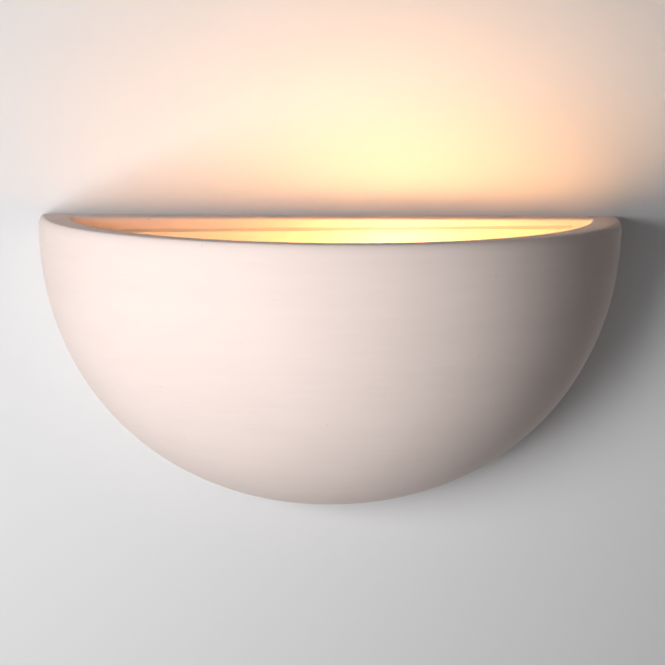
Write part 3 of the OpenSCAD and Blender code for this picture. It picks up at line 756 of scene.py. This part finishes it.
class UPLIGHTER_OT_reflector(bpy.types.Operator):
    """Makes the reflector with its top edge thinned to a lip against the clay"""

    bl_idname = "uplighter.reflector"
    bl_label = "Reflector"

    def execute(self, context):
        node = frame["nodes"]["reflector"]
        mesh = bpy.data.meshes.new("lipped_reflector")
        sheet = bmesh.new()
        sheet.from_mesh(node.data)
        bmesh.ops.remove_doubles(sheet, verts=sheet.verts, dist=WELD)
        sheet.to_mesh(mesh)
        sheet.free()
        mesh.transform(node.matrix_world)

        # The two ends of the top edge are the sheet's points farthest to the left and right
        left = min((v.co.copy() for v in mesh.vertices), key=lambda p: p.x)
        right = max((v.co.copy() for v in mesh.vertices), key=lambda p: p.x)
        slope = (right.z - left.z) / (right.x - left.x)
        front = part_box("reflector")[0].y
        for v in mesh.vertices:
            on_edge = abs(v.co.z - left.z - slope * (v.co.x - left.x)) < NEAR
            if on_edge and v.co.y < front + NEAR:
                v.co.z -= context.scene.uplighter_bowl.lip
        mesh.shade_flat()
        piece = add_object("lipped_reflector", mesh)
        dress(piece, satin_white(), "bowl_unit", "white_reflector", "reflector")
        return {"FINISHED"}


class UPLIGHTER_OT_metalwork(bpy.types.Operator):
    """Finishes the wall strap, lamp arm, washers, tubes and tags"""

    bl_idname = "uplighter.metalwork"
    bl_label = "Sheet metal"

    def execute(self, context):
        repaint(
            finish("Bright zinc"),
            "wall_strap", "lamp_arm", "front_washers", "rear_washers", "nipple",
        )
        repaint(
            finish("Drawn brass"), "earth_washer", "block_tubes", "terminals", "centre_contact"
        )
        repaint(finish("Tin plate"), "earth_tag")
        soften_edges(0.3 * MM, "wall_strap", "lamp_arm")
        soften_edges(
            0.15 * MM,
            "front_washers", "rear_washers", "earth_washer", "earth_tag", "centre_contact",
            "terminals",
        )
        return {"FINISHED"}


class UPLIGHTER_OT_mouldings(bpy.types.Operator):
    """Finishes the grommets, the terminal block and the porcelain of the lampholder"""

    bl_idname = "uplighter.mouldings"
    bl_label = "Mouldings and porcelain"

    def execute(self, context):
        repaint(finish("Black rubber"), "cable_grommet", "wire_grommet")
        repaint(finish("Natural nylon"), "terminal_block")
        repaint(finish("Glazed porcelain"), "holder_cap", "holder_skirt", "contact_base")
        soften_edges(0.3 * MM, "cable_grommet", "wire_grommet", "terminal_block")
        return {"FINISHED"}


class UPLIGHTER_OT_leads(bpy.types.Operator):
    """Finishes the three insulated leads"""

    bl_idname = "uplighter.leads"
    bl_label = "Leads"

    def execute(self, context):
        repaint(finish("Brown sleeve"), "live_lead")
        repaint(finish("Blue sleeve"), "neutral_lead")
        repaint(striped_sleeve(), "earth_lead")
        return {"FINISHED"}


# ---------------------------------------------------------------- screws, nuts and washers

FIXING_D = 4 * MM
FIXING_L = 14 * MM
BLOCK_SCREW_D = 3 * MM
TERMINAL_SCREW_D = 2.5 * MM
SCREW_SIDES = 24
SCREW_ANGLE = 32
GRUB_R = 1.3 * MM
GRUB_PITCH = 0.45 * MM
GRUB_THREAD = 0.12 * MM
GRUB_TIP = 0.3 * MM
GRUB_SLOT_DEPTH = 0.8 * MM
GRUB_SLOT_HALF_W = 0.25 * MM
GRUB_SIDES = 20
NUT_CORNERS = 8.08 * MM
NUT_BORE = 3.9 * MM
NUT_SLOPE = math.tan(math.radians(30))
NUT_SIDES = 72
NUT_ANGLE = 25
LOCK_NUT_BORE = 9.9 * MM
LOCK_WASHER_R = 5.02 * MM
LOCK_WASHER_SIDES = 120
TEETH = 10
TOOTH_GAP = 0.6  # share of a tooth's pitch that is cut away
TOOTH_DEPTH = 0.9 * MM

# Shares of a screw's diameter
HEAD = 0.65
HEAD_EDGE = 0.3
HEAD_CROWN = 0.35
PITCH = 0.17
THREAD = 0.05
SLOT_TOP = 0.66
SLOT_DEPTH = 0.33
SLOT_HALF_L = 1.2
SLOT_HALF_W = 0.11


def threaded(place, length, radius, pitch, depth, sides, steps_a_turn=6):
    """Rings of a threaded shank along local Z from its place, with a short pointed lead-in."""
    rings = []
    count = int(length / pitch * steps_a_turn)
    for i in range(count + 1):
        s = length * i / count
        lead_in = min(1.0, (length - s) / pitch)
        ring = []
        for j in range(sides):
            phase = TURN * (s / pitch - j / sides)
            r = radius - depth * (0.5 + 0.5 * math.cos(phase)) - (1 - lead_in) * depth * 0.8
            ring.append(place @ around(r, TURN * j / sides, s))
        rings.append(ring)
    return rings


def pan_head(d):
    """Profile of a pan head from its top middle to its underside, as (radius, station)."""
    edge = HEAD_EDGE * d
    crown = HEAD_CROWN * d
    return [
        (0.02 * d, -edge - crown),
        (0.45 * d, -edge - 0.95 * crown),
        (0.75 * d, -edge - 0.72 * crown),
        (0.93 * d, -edge - 0.35 * crown),
        (d, -edge),
        (d, -0.03 * d),
        (0.97 * d, 0.0),
    ]


def slot_cutter(place, half_length, half_width, low, high):
    """A bar that cuts a screwdriver slot across local Z, between two stations."""
    x, y = half_length, half_width
    corners = [(-x, -y), (x, -y), (x, y), (-x, y)]
    rings = [[place @ Vector((*corner, s)) for corner in corners] for s in (low, high)]
    return piece_from("slot_cutter", *loft(rings))


def slotted_screw(name, origin, along, d, length, slot_turn=0.3):
    """A slotted pan-head screw, its threaded shank running along the given direction."""
    place = facing(origin, along)
    rings = lathe_rings(pan_head(d), place, SCREW_SIDES)
    rings += threaded(place, length, d / 2, PITCH * d, THREAD * d, SCREW_SIDES)
    screw = piece_from(name, *loft(rings), smooth_angle=SCREW_ANGLE)
    turned = place @ Matrix.Rotation(slot_turn, 4, "Z")
    top = -SLOT_TOP * d
    slot = slot_cutter(turned, SLOT_HALF_L * d, SLOT_HALF_W * d, top, top + SLOT_DEPTH * d)
    cut_away(screw, [slot])
    return screw


def merge(name, pieces):
    """Joins pieces into one object."""
    whole = bmesh.new()
    for piece in pieces:
        whole.from_mesh(piece.data)
    mesh = bpy.data.meshes.new(name)
    whole.to_mesh(mesh)
    whole.free()
    for piece in pieces:
        bpy.data.objects.remove(piece)
    smooth_up_to(mesh, SCREW_ANGLE)
    return add_object(name, mesh)


def hex_nut(origin, along, across, height, bore):
    """Points and faces of a chamfered hexagon nut; across is over its corners."""
    flat_r = across / 2 * math.cos(math.pi / 6)
    bevel = 0.04 * height
    face_r = 0.97 * flat_r

    def section(j):
        into_side = (TURN * j / NUT_SIDES % (math.pi / 3)) - math.pi / 6
        corner = flat_r / math.cos(into_side)
        fall = (corner - flat_r) * NUT_SLOPE + bevel
        return [
            (bore / 2, bevel), (face_r, 0.0), (corner, fall), (corner, height - fall),
            (face_r, height), (bore / 2, 0.96 * height),
        ]

    return loft(changing_rings(facing(origin, along), NUT_SIDES, section), closed=True)


class UPLIGHTER_OT_screws(bpy.types.Operator):
    """Makes the slotted screws in place of the plain ones"""

    bl_idname = "uplighter.screws"
    bl_label = "Screws"

    def execute(self, context):
        steel = finish("Bright zinc")
        d = FIXING_D
        arm_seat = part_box("fixing_screws")[0].y + HEAD * d
        washer_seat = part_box("front_washers")[0].y
        fixing = []
        for i, (x, z) in enumerate(screw_places()):
            seat = (x, arm_seat if x < 0 else washer_seat, z)
            fixing.append(slotted_screw("screw", seat, INTO_WALL, d, FIXING_L, 0.5 + 0.9 * i))
        screws = merge("slotted_fixing_screws", fixing)
        dress(screws, steel, "bowl_unit", "zinc_steel", "fixing_screws")

        low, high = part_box("earth_screw")
        middle = (low + high) / 2
        length = high.y - low.y - HEAD * d
        seat = (middle.x, high.y - length, middle.z)
        screw = slotted_screw("slotted_earth_screw", seat, INTO_WALL, d, length)
        dress(screw, finish("Drawn brass"), "wall_strap", "brass", "earth_screw")

        low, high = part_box("tag_screw")
        middle = (low + high) / 2
        length = high.x - low.x - HEAD * d
        seat = (high.x - length, middle.y, middle.z)
        screw = slotted_screw("slotted_tag_screw", seat, TO_THE_RIGHT, d, length, 1.1)
        dress(screw, steel, "bowl_unit", "zinc_steel", "tag_screw")

        d = BLOCK_SCREW_D
        low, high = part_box("block_screws")
        length = high.y - low.y - HEAD * d
        seats = [(x, high.y - length, (low.z + high.z) / 2) for x in (low.x + d, high.x - d)]
        pair = [
            slotted_screw("screw", seat, INTO_WALL, d, length, 0.7 * seat[0] / d)
            for seat in seats
        ]
        screws = merge("slotted_block_screws", pair)
        dress(screws, steel, "bowl_unit", "zinc_steel", "block_screws")

        d = TERMINAL_SCREW_D
        low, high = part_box("terminal_screws")
        length = high.z - low.z - HEAD * d
        seats = [((low.x + high.x) / 2, y, low.z + length) for y in (low.y + d, high.y - d)]
        pair = [slotted_screw("screw", seat, DOWN, d, length, 0.4) for seat in seats]
        screws = merge("slotted_terminal_screws", pair)
        dress(screws, steel, "bowl_unit", "zinc_steel", "terminal_screws")
        return {"FINISHED"}


class UPLIGHTER_OT_clamp_screws(bpy.types.Operator):
    """Makes the slotted grub screws of the terminal block"""

    bl_idname = "uplighter.clamp_screws"
    bl_label = "Clamp screws"

    def execute(self, context):
        low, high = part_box("clamp_screws")
        length = high.y - low.y
        pitch_x = high.x - GRUB_R
        grubs = []
        for i in (-1, 0, 1):
            for z in (low.z + GRUB_R, high.z - GRUB_R):
                place = facing((i * pitch_x, low.y, z), INTO_WALL)
                rings = threaded(
                    place, length - GRUB_TIP, GRUB_R, GRUB_PITCH, GRUB_THREAD, GRUB_SIDES
                )
                tip = [(0.8 * GRUB_R, length - 0.1 * MM), (0.6 * GRUB_R, length)]
                rings += lathe_rings(tip, place, GRUB_SIDES)
                grub = piece_from("grub", *loft(rings), smooth_angle=SCREW_ANGLE)
                turned = place @ Matrix.Rotation(0.5 + 1.3 * i + 40 * z, 4, "Z")
                slot = slot_cutter(
                    turned, 2 * MM, GRUB_SLOT_HALF_W, length - GRUB_SLOT_DEPTH, length + MM
                )
                cut_away(grub, [slot])
                grubs.append(grub)
        screws = merge("slotted_clamp_screws", grubs)
        dress(screws, finish("Bright zinc"), "bowl_unit", "zinc_steel", "clamp_screws")
        return {"FINISHED"}


class UPLIGHTER_OT_nuts(bpy.types.Operator):
    """Makes the chamfered nuts and the toothed lock washer"""

    bl_idname = "uplighter.nuts"
    bl_label = "Nuts and lock washer"

    def execute(self, context):
        steel = finish("Bright zinc")
        low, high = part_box("rear_nuts")
        nuts = [
            hex_nut((x, low.y, z), INTO_WALL, NUT_CORNERS, high.y - low.y, NUT_BORE)
            for x, z in screw_places()
        ]
        nuts = joined("chamfered_rear_nuts", nuts, NUT_ANGLE)
        dress(nuts, steel, "bowl_unit", "zinc_steel", "rear_nuts")

        low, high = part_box("tag_nut")
        seat = (low.x, (low.y + high.y) / 2, (low.z + high.z) / 2)
        nut = hex_nut(seat, TO_THE_RIGHT, NUT_CORNERS, high.x - low.x, NUT_BORE)
        nut = joined("chamfered_tag_nut", [nut], NUT_ANGLE)
        dress(nut, steel, "bowl_unit", "zinc_steel", "tag_nut")

        low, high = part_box("lock_nut")
        seat = (low.x, LAMP_AXIS_Y, LAMP_AXIS_Z)
        nut = hex_nut(seat, TO_THE_RIGHT, high.z - low.z, high.x - low.x, LOCK_NUT_BORE)
        nut = joined("chamfered_lock_nut", [nut], NUT_ANGLE)
        dress(nut, finish("Drawn brass"), "bowl_unit", "brass", "lock_nut")

        washer = joined("toothed_lock_washer", [self.lock_washer()], NUT_ANGLE)
        dress(washer, steel, "bowl_unit", "zinc_steel", "lock_washer")
        return {"FINISHED"}

    def lock_washer(self):
        """Points and faces of the washer, whose teeth rise a little towards one side."""
        low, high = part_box("lock_washer")
        outer = (high.z - low.z) / 2
        thick = high.x - low.x

        def section(j):
            tooth = (j * TEETH / LOCK_WASHER_SIDES) % 1
            cut = tooth < TOOTH_GAP
            edge_r = outer - TOOTH_DEPTH if cut else outer
            lift = 0.25 * thick * tooth if cut else 0.0
            return [
                (LOCK_WASHER_R, 0.15 * thick), (edge_r, lift),
                (edge_r, 0.8 * thick + 0.6 * lift), (LOCK_WASHER_R, 0.85 * thick),
            ]

        place = facing((low.x, LAMP_AXIS_Y, LAMP_AXIS_Z), TO_THE_RIGHT)
        return loft(changing_rings(place, LOCK_WASHER_SIDES, section), closed=True)


# ---------------------------------------------------------------- contacts and lamp

THREAD_SIDES = 96
THREAD_STEP = 0.28 * MM
SHELL_SHEET = 0.4 * MM
SHELL_FOOT_R = 6 * MM
SHELL_FADE = 2.5 * MM
SPRING_WIRE_R = 0.35 * MM
SPRING_TURNS = 4.5
SPRING_STEPS = 24
SPRING_REST = 0.75  # turns that lie flat at each end of the spring
NECK_R = 12.2 * MM
FLARE_R = 40 * MM
GLASS_T = 0.8 * MM
GLASS_SIDES = 128
CAP_SHEET = 0.35 * MM
CAP_CONE = 3 * MM
CAP_COLLAR = 5.5 * MM
CAP_FADE = 2.0 * MM


def about_lamp(x, radius, angle):
    """A point on a circle about the lamp's axis."""
    y = LAMP_AXIS_Y + radius * math.cos(angle)
    return Vector((x, y, LAMP_AXIS_Z + radius * math.sin(angle)))


def lamp_rings(profile, sides=THREAD_SIDES):
    """Rings about the lamp's axis from (radius, x)."""
    return [[about_lamp(x, r, TURN * j / sides) for j in range(sides)] for r, x in profile]


def rolled_thread(x_first, x_last, radius, depth, pitch, fade):
    """Rings of a rounded right-hand screw thread between two places along the lamp's axis."""
    rings = []
    count = int((x_last - x_first) / THREAD_STEP)
    for i in range(count + 1):
        x = x_first + (x_last - x_first) * i / count
        full = max(0, min(1.0, (x - x_first) / fade, (x_last - x) / fade))
        ring = []
        for j in range(THREAD_SIDES):
            a = TURN * j / THREAD_SIDES
            phase = TURN * x / pitch - a
            r = radius - depth * full * (0.5 - 0.5 * math.cos(phase))
            ring.append(about_lamp(x, r, a))
        rings.append(ring)
    return rings


class UPLIGHTER_OT_contacts(bpy.types.Operator):
    """Makes the threaded shell and the coiled contact spring of the lampholder"""

    bl_idname = "uplighter.contacts"
    bl_label = "Holder contacts"

    def execute(self, context):
        self.shell(context.scene.uplighter_lamp)
        self.spring()
        return {"FINISHED"}

    def shell(self, lamp):
        """Rolled shell with a flange at its foot."""
        low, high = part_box("screw_shell")
        inner = (high.z - low.z) / 2 - SHELL_SHEET
        first, last = low.x + 2 * MM, high.x - 0.4 * MM
        inside, outside = (
            rolled_thread(first, last, radius, lamp.thread_depth, lamp.pitch, SHELL_FADE)
            for radius in (inner, inner + SHELL_SHEET)
        )
        foot_x = low.x + SHELL_SHEET
        flange = lamp_rings([
            (inner, foot_x), (SHELL_FOOT_R, foot_x), (SHELL_FOOT_R, low.x),
            (inner + SHELL_SHEET, low.x),
        ])
        rings = list(reversed(inside)) + flange + outside
        shell = piece_from("threaded_shell", *loft(rings, closed=True), smooth_angle=50)
        dress(shell, finish("Drawn brass"), "bowl_unit", "brass", "screw_shell")

    def spring(self):
        """Coil behind the centre contact, its end turns lying flat."""
        low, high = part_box("contact_spring")
        wire_r = SPRING_WIRE_R
        radius = (high.z - low.z) / 2 - wire_r
        path = []
        for i in range(int(SPRING_TURNS * SPRING_STEPS) + 1):
            turns = i / SPRING_STEPS
            rise = min(max((turns - SPRING_REST) / (SPRING_TURNS - 2 * SPRING_REST), 0), 1)
            x = low.x + wire_r + (high.x - low.x - 2 * wire_r) * rise
            path.append(about_lamp(x, radius, TURN * i / SPRING_STEPS))
        spring = piece_from("coiled_contact_spring", *tube(path, wire_r, 10))
        dress(spring, finish("Drawn wire"), "bowl_unit", "spring_steel", "contact_spring")


class UPLIGHTER_OT_lamp(bpy.types.Operator):
    """Makes the lit bulb, its threaded cap and its insides"""

    bl_idname = "uplighter.lamp"
    bl_label = "Lamp"

    def execute(self, context):
        lamp = context.scene.uplighter_lamp
        self.glass(lamp)
        self.cap(lamp)
        repaint(finish("Black glass"), "cap_insulator")
        repaint(finish("Soft solder"), "cap_contact")
        repaint(finish("Clear lead glass"), "lamp_stem")
        repaint(finish("Drawn wire"), "support_wires")
        repaint(finish("Filament wire"), "filament")
        return {"FINISHED"}

    def glass(self, lamp):
        """Pear-shaped bulb: neck, hollow flare and ball, as one closed skin of even thickness."""
        low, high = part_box("bulb_glass")
        ball_r = (high.z - low.z) / 2
        ball_x = high.x - ball_r
        flare_y = NECK_R + FLARE_R
        flare_x = ball_x - math.sqrt((ball_r + FLARE_R) ** 2 - flare_y**2)
        lean = math.degrees(math.atan2(ball_x - flare_x, flare_y))

        def skin(inset):
            """Rings of the outside, or of the inside at an inset, from the neck to the crown."""
            flare = arc((flare_y, flare_x), FLARE_R + inset, 180, 180 - lean, 24)
            ball = arc((0, ball_x), ball_r - inset, 2 - lean, 89.2, 72)
            return lamp_rings([(NECK_R - inset, low.x), *flare, *ball], GLASS_SIDES)

        points, faces = loft(skin(0.0), caps=False)
        inner_points, inner_faces = loft(list(reversed(skin(GLASS_T))), caps=False)
        start = len(points)
        faces.append(tuple(range(start - GLASS_SIDES, start)))
        faces.extend(tuple(i + start for i in face) for face in inner_faces)
        faces.append(tuple(range(start, start + GLASS_SIDES)))
        points = points + inner_points
        end = len(points) - GLASS_SIDES
        for j in range(GLASS_SIDES):
            k = (j + 1) % GLASS_SIDES
            faces.append((j, k, end + k, end + j))
        bulb = piece_from("opal_bulb", points, faces, smooth_angle=60)
        glow = lit_glass(lamp, low.x, ball_x, high.x)
        dress(bulb, glow, "lamp", "lamp_glass", "bulb_glass")

    def cap(self, lamp):
        """Thin rolled cap: cone, thread and plain collar."""
        low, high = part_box("lamp_cap")
        radius = (high.z - low.z) / 2
        foot = radius - CAP_CONE
        first, last = low.x + CAP_CONE, high.x - CAP_COLLAR
        thread, inner = (
            rolled_thread(first, last, r, lamp.thread_depth, lamp.pitch, CAP_FADE)
            for r in (radius, radius - CAP_SHEET)
        )
        collar = [
            (radius, high.x - 0.3 * MM), (radius - 0.15 * MM, high.x),
            (radius - CAP_SHEET, high.x),
        ]
        rings = lamp_rings([(foot - CAP_SHEET, low.x), (foot, low.x)])
        rings += thread + lamp_rings(collar) + list(reversed(inner))
        rings += lamp_rings([(foot - CAP_SHEET, low.x + 0.4 * MM)])
        cap = piece_from("threaded_lamp_cap", *loft(rings, closed=True), smooth_angle=50)
        dress(cap, finish("Rolled lamp cap"), "lamp", "lamp_cap_metal", "lamp_cap")


# ---------------------------------------------------------------- studio

STAGE_HALF = 3.0
STAGE_DEPTH = 4.0
WALL_TOP = 1.6
WALL_GAP = 0.3 * MM
FLOOR_GLOW = 0.45
LIT_POINT = (0, -0.05, -0.02)
VIEW_DEPTH = 50 * MM
VIEW_DROP = 70 * MM
AIM_LEFT = 0.84 * MM
AIM_DROP = (70 - 15.52) * MM


def plain_finish(name, colour, one_sided=False, seen_glow=0.0):
    """Matte stage finish; one-sided can't be seen from behind, and a glow is for the camera."""
    material, tree, shader = new_material(
        name, {"Base Color": (*colour, 1), "Roughness": 0.9, "Specular IOR Level": 0.1}
    )
    bump_into(shader, noise_at(tree, object_place(tree), 220.0, 3.0), 0.12, 0.5 * MM)
    seen = put(tree, "ShaderNodeLightPath").outputs["Is Camera Ray"]
    if seen_glow:
        glow = remap(tree, seen, to_max=seen_glow)
        feed(shader, {"Emission Color": (*colour, 1), "Emission Strength": glow})
    if one_sided:
        back = put(tree, "ShaderNodeNewGeometry").outputs["Backfacing"]
        clear = put(tree, "ShaderNodeBsdfTransparent").outputs["BSDF"]
        inputs = {"Fac": maths(tree, "MULTIPLY", back, seen), 1: shader.outputs["BSDF"], 2: clear}
        mix = put(tree, "ShaderNodeMixShader", inputs)
        out = next(n for n in tree.nodes if n.type == "OUTPUT_MATERIAL")
        feed(out, {"Surface": mix.outputs["Shader"]})
    return material


def stage_sheet(name, corners, material):
    """A flat stage surface through four corners."""
    mesh = bpy.data.meshes.new(name)
    mesh.from_pydata(corners, [], [(0, 1, 2, 3)])
    mesh.materials.append(material)
    sheet = add_object(name, mesh)
    return sheet


def direction(azimuth, elevation):
    """Unit vector from the wall light's middle; azimuth 0 points into the room."""
    flat = math.cos(elevation)
    return Vector((math.sin(azimuth) * flat, -math.cos(azimuth) * flat, math.sin(elevation)))


def soft_light(name, place, target, size, power):
    """A white rectangular light that faces a point."""
    data = bpy.data.lights.new(name, "AREA")
    data.shape = "RECTANGLE"
    data.size, data.size_y = size
    data.energy = power
    light = add_object(name, data)
    light.location = place
    light.rotation_euler = (Vector(target) - place).to_track_quat("-Z", "Y").to_euler()


class UPLIGHTER_OT_studio(bpy.types.Operator):
    """Makes the wall, the floor, the lights and the camera"""

    bl_idname = "uplighter.studio"
    bl_label = "Studio and camera"

    def execute(self, context):
        studio = context.scene.uplighter_studio
        floor_z = -studio.floor_drop
        half, deep = STAGE_HALF, STAGE_DEPTH
        wall = stage_sheet(
            "backdrop_wall",
            [
                (-half, WALL_GAP, floor_z), (half, WALL_GAP, floor_z),
                (half, WALL_GAP, WALL_TOP), (-half, WALL_GAP, WALL_TOP),
            ],
            plain_finish("Pale wall", studio.wall_colour, one_sided=True),
        )
        wall.visible_shadow = False
        stage_sheet(
            "floor",
            [
                (-half, -deep, floor_z), (half, -deep, floor_z),
                (half, deep, floor_z), (-half, deep, floor_z),
            ],
            plain_finish("Pale floor", studio.floor_colour, seen_glow=FLOOR_GLOW),
        )
        self.lights(studio)
        self.sky(studio)
        self.camera(studio)
        context.scene.view_settings.view_transform = "Standard"
        return {"FINISHED"}

    def lights(self, studio):
        """Three soft lights: azimuth, elevation, distance, width, height and power of each."""
        for name, azimuth, elevation, distance, wide, tall, power in (
            ("Key light", -35, -1, 0.80, 0.35, 0.45, studio.key_power),
            ("Front light", -4, 4, 0.60, 0.30, 0.30, studio.front_power),
            ("Back light", 165, -10, 1.20, 0.90, 0.90, studio.back_power),
        ):
            away = direction(math.radians(azimuth), math.radians(elevation)) * distance
            soft_light(name, Vector(LIT_POINT) + away, LIT_POINT, (wide, tall), power)

    def sky(self, studio):
        """Even fill light, and a pale background where the camera looks past the stage."""
        world = bpy.data.worlds.new("Even fill")
        world.use_nodes = True
        tree = world.node_tree
        fill = next(n for n in tree.nodes if n.type == "BACKGROUND")
        seen = put(tree, "ShaderNodeLightPath").outputs["Is Camera Ray"]
        strength = remap(tree, seen, to_min=studio.sky, to_max=studio.seen_sky)
        feed(fill, {"Color": (1.0, 1.0, 1.0, 1), "Strength": strength})
        bpy.context.scene.world = world

    def camera(self, studio):
        """The photograph's view: from a little left of and above the middle."""
        middle = Vector((0, -VIEW_DEPTH, RIM_Z - VIEW_DROP))
        away = direction(studio.camera_azimuth, studio.camera_elevation)
        place = middle + away * studio.camera_distance
        target = Vector((-AIM_LEFT, -VIEW_DEPTH, RIM_Z - AIM_DROP))
        ahead = (target - place).normalized()
        right = ahead.cross(Vector((0, 0, 1))).normalized()
        up = right.cross(ahead)
        cosine, sine = math.cos(studio.camera_roll), math.sin(studio.camera_roll)
        axes = Matrix((right * cosine + up * sine, up * cosine - right * sine, -ahead))
        data = bpy.data.cameras.new("Photo view")
        data.sensor_fit = "HORIZONTAL"
        data.sensor_width = 36.0
        data.lens = studio.lens
        data.clip_start = 0.01
        camera = add_object("Photo view", data)
        camera.matrix_world = Matrix.Translation(place) @ axes.transposed().to_4x4()
        bpy.context.scene.camera = camera


# ---------------------------------------------------------------- panel and run

STEPS = (
    UPLIGHTER_OT_studio,
    UPLIGHTER_OT_bowl,
    UPLIGHTER_OT_reflector,
    UPLIGHTER_OT_metalwork,
    UPLIGHTER_OT_mouldings,
    UPLIGHTER_OT_leads,
    UPLIGHTER_OT_screws,
    UPLIGHTER_OT_clamp_screws,
    UPLIGHTER_OT_nuts,
    UPLIGHTER_OT_contacts,
    UPLIGHTER_OT_lamp,
)


class UPLIGHTER_PT_panel(bpy.types.Panel):
    """Lists the steps that dress the light, and its sizes and colours"""

    bl_idname = "UPLIGHTER_PT_panel"
    bl_label = "Half bowl uplighter"
    bl_space_type = "VIEW_3D"
    bl_region_type = "UI"
    bl_category = "Uplighter"

    def draw(self, context):
        for step in STEPS:
            self.layout.operator(step.bl_idname)
        scene = context.scene
        for group in (scene.uplighter_bowl, scene.uplighter_lamp, scene.uplighter_studio):
            box = self.layout.box()
            for name in group.__annotations__:
                box.prop(group, name)


CLASSES = (BowlSettings, LampSettings, StudioSettings, *STEPS, UPLIGHTER_PT_panel)


def register():
    for made in CLASSES:
        bpy.utils.register_class(made)
    bpy.types.Scene.uplighter_bowl = PointerProperty(type=BowlSettings)
    bpy.types.Scene.uplighter_lamp = PointerProperty(type=LampSettings)
    bpy.types.Scene.uplighter_studio = PointerProperty(type=StudioSettings)


def unregister():
    del bpy.types.Scene.uplighter_studio
    del bpy.types.Scene.uplighter_lamp
    del bpy.types.Scene.uplighter_bowl
    for made in reversed(CLASSES):
        bpy.utils.unregister_class(made)


def main():
    register()
    bpy.ops.uplighter.studio()
    bpy.ops.uplighter.bowl()
    bpy.ops.uplighter.reflector()
    bpy.ops.uplighter.metalwork()
    bpy.ops.uplighter.mouldings()
    bpy.ops.uplighter.leads()
    bpy.ops.uplighter.screws()
    bpy.ops.uplighter.clamp_screws()
    bpy.ops.uplighter.nuts()
    bpy.ops.uplighter.contacts()
    bpy.ops.uplighter.lamp()


if __name__ == "__main__":
    main()
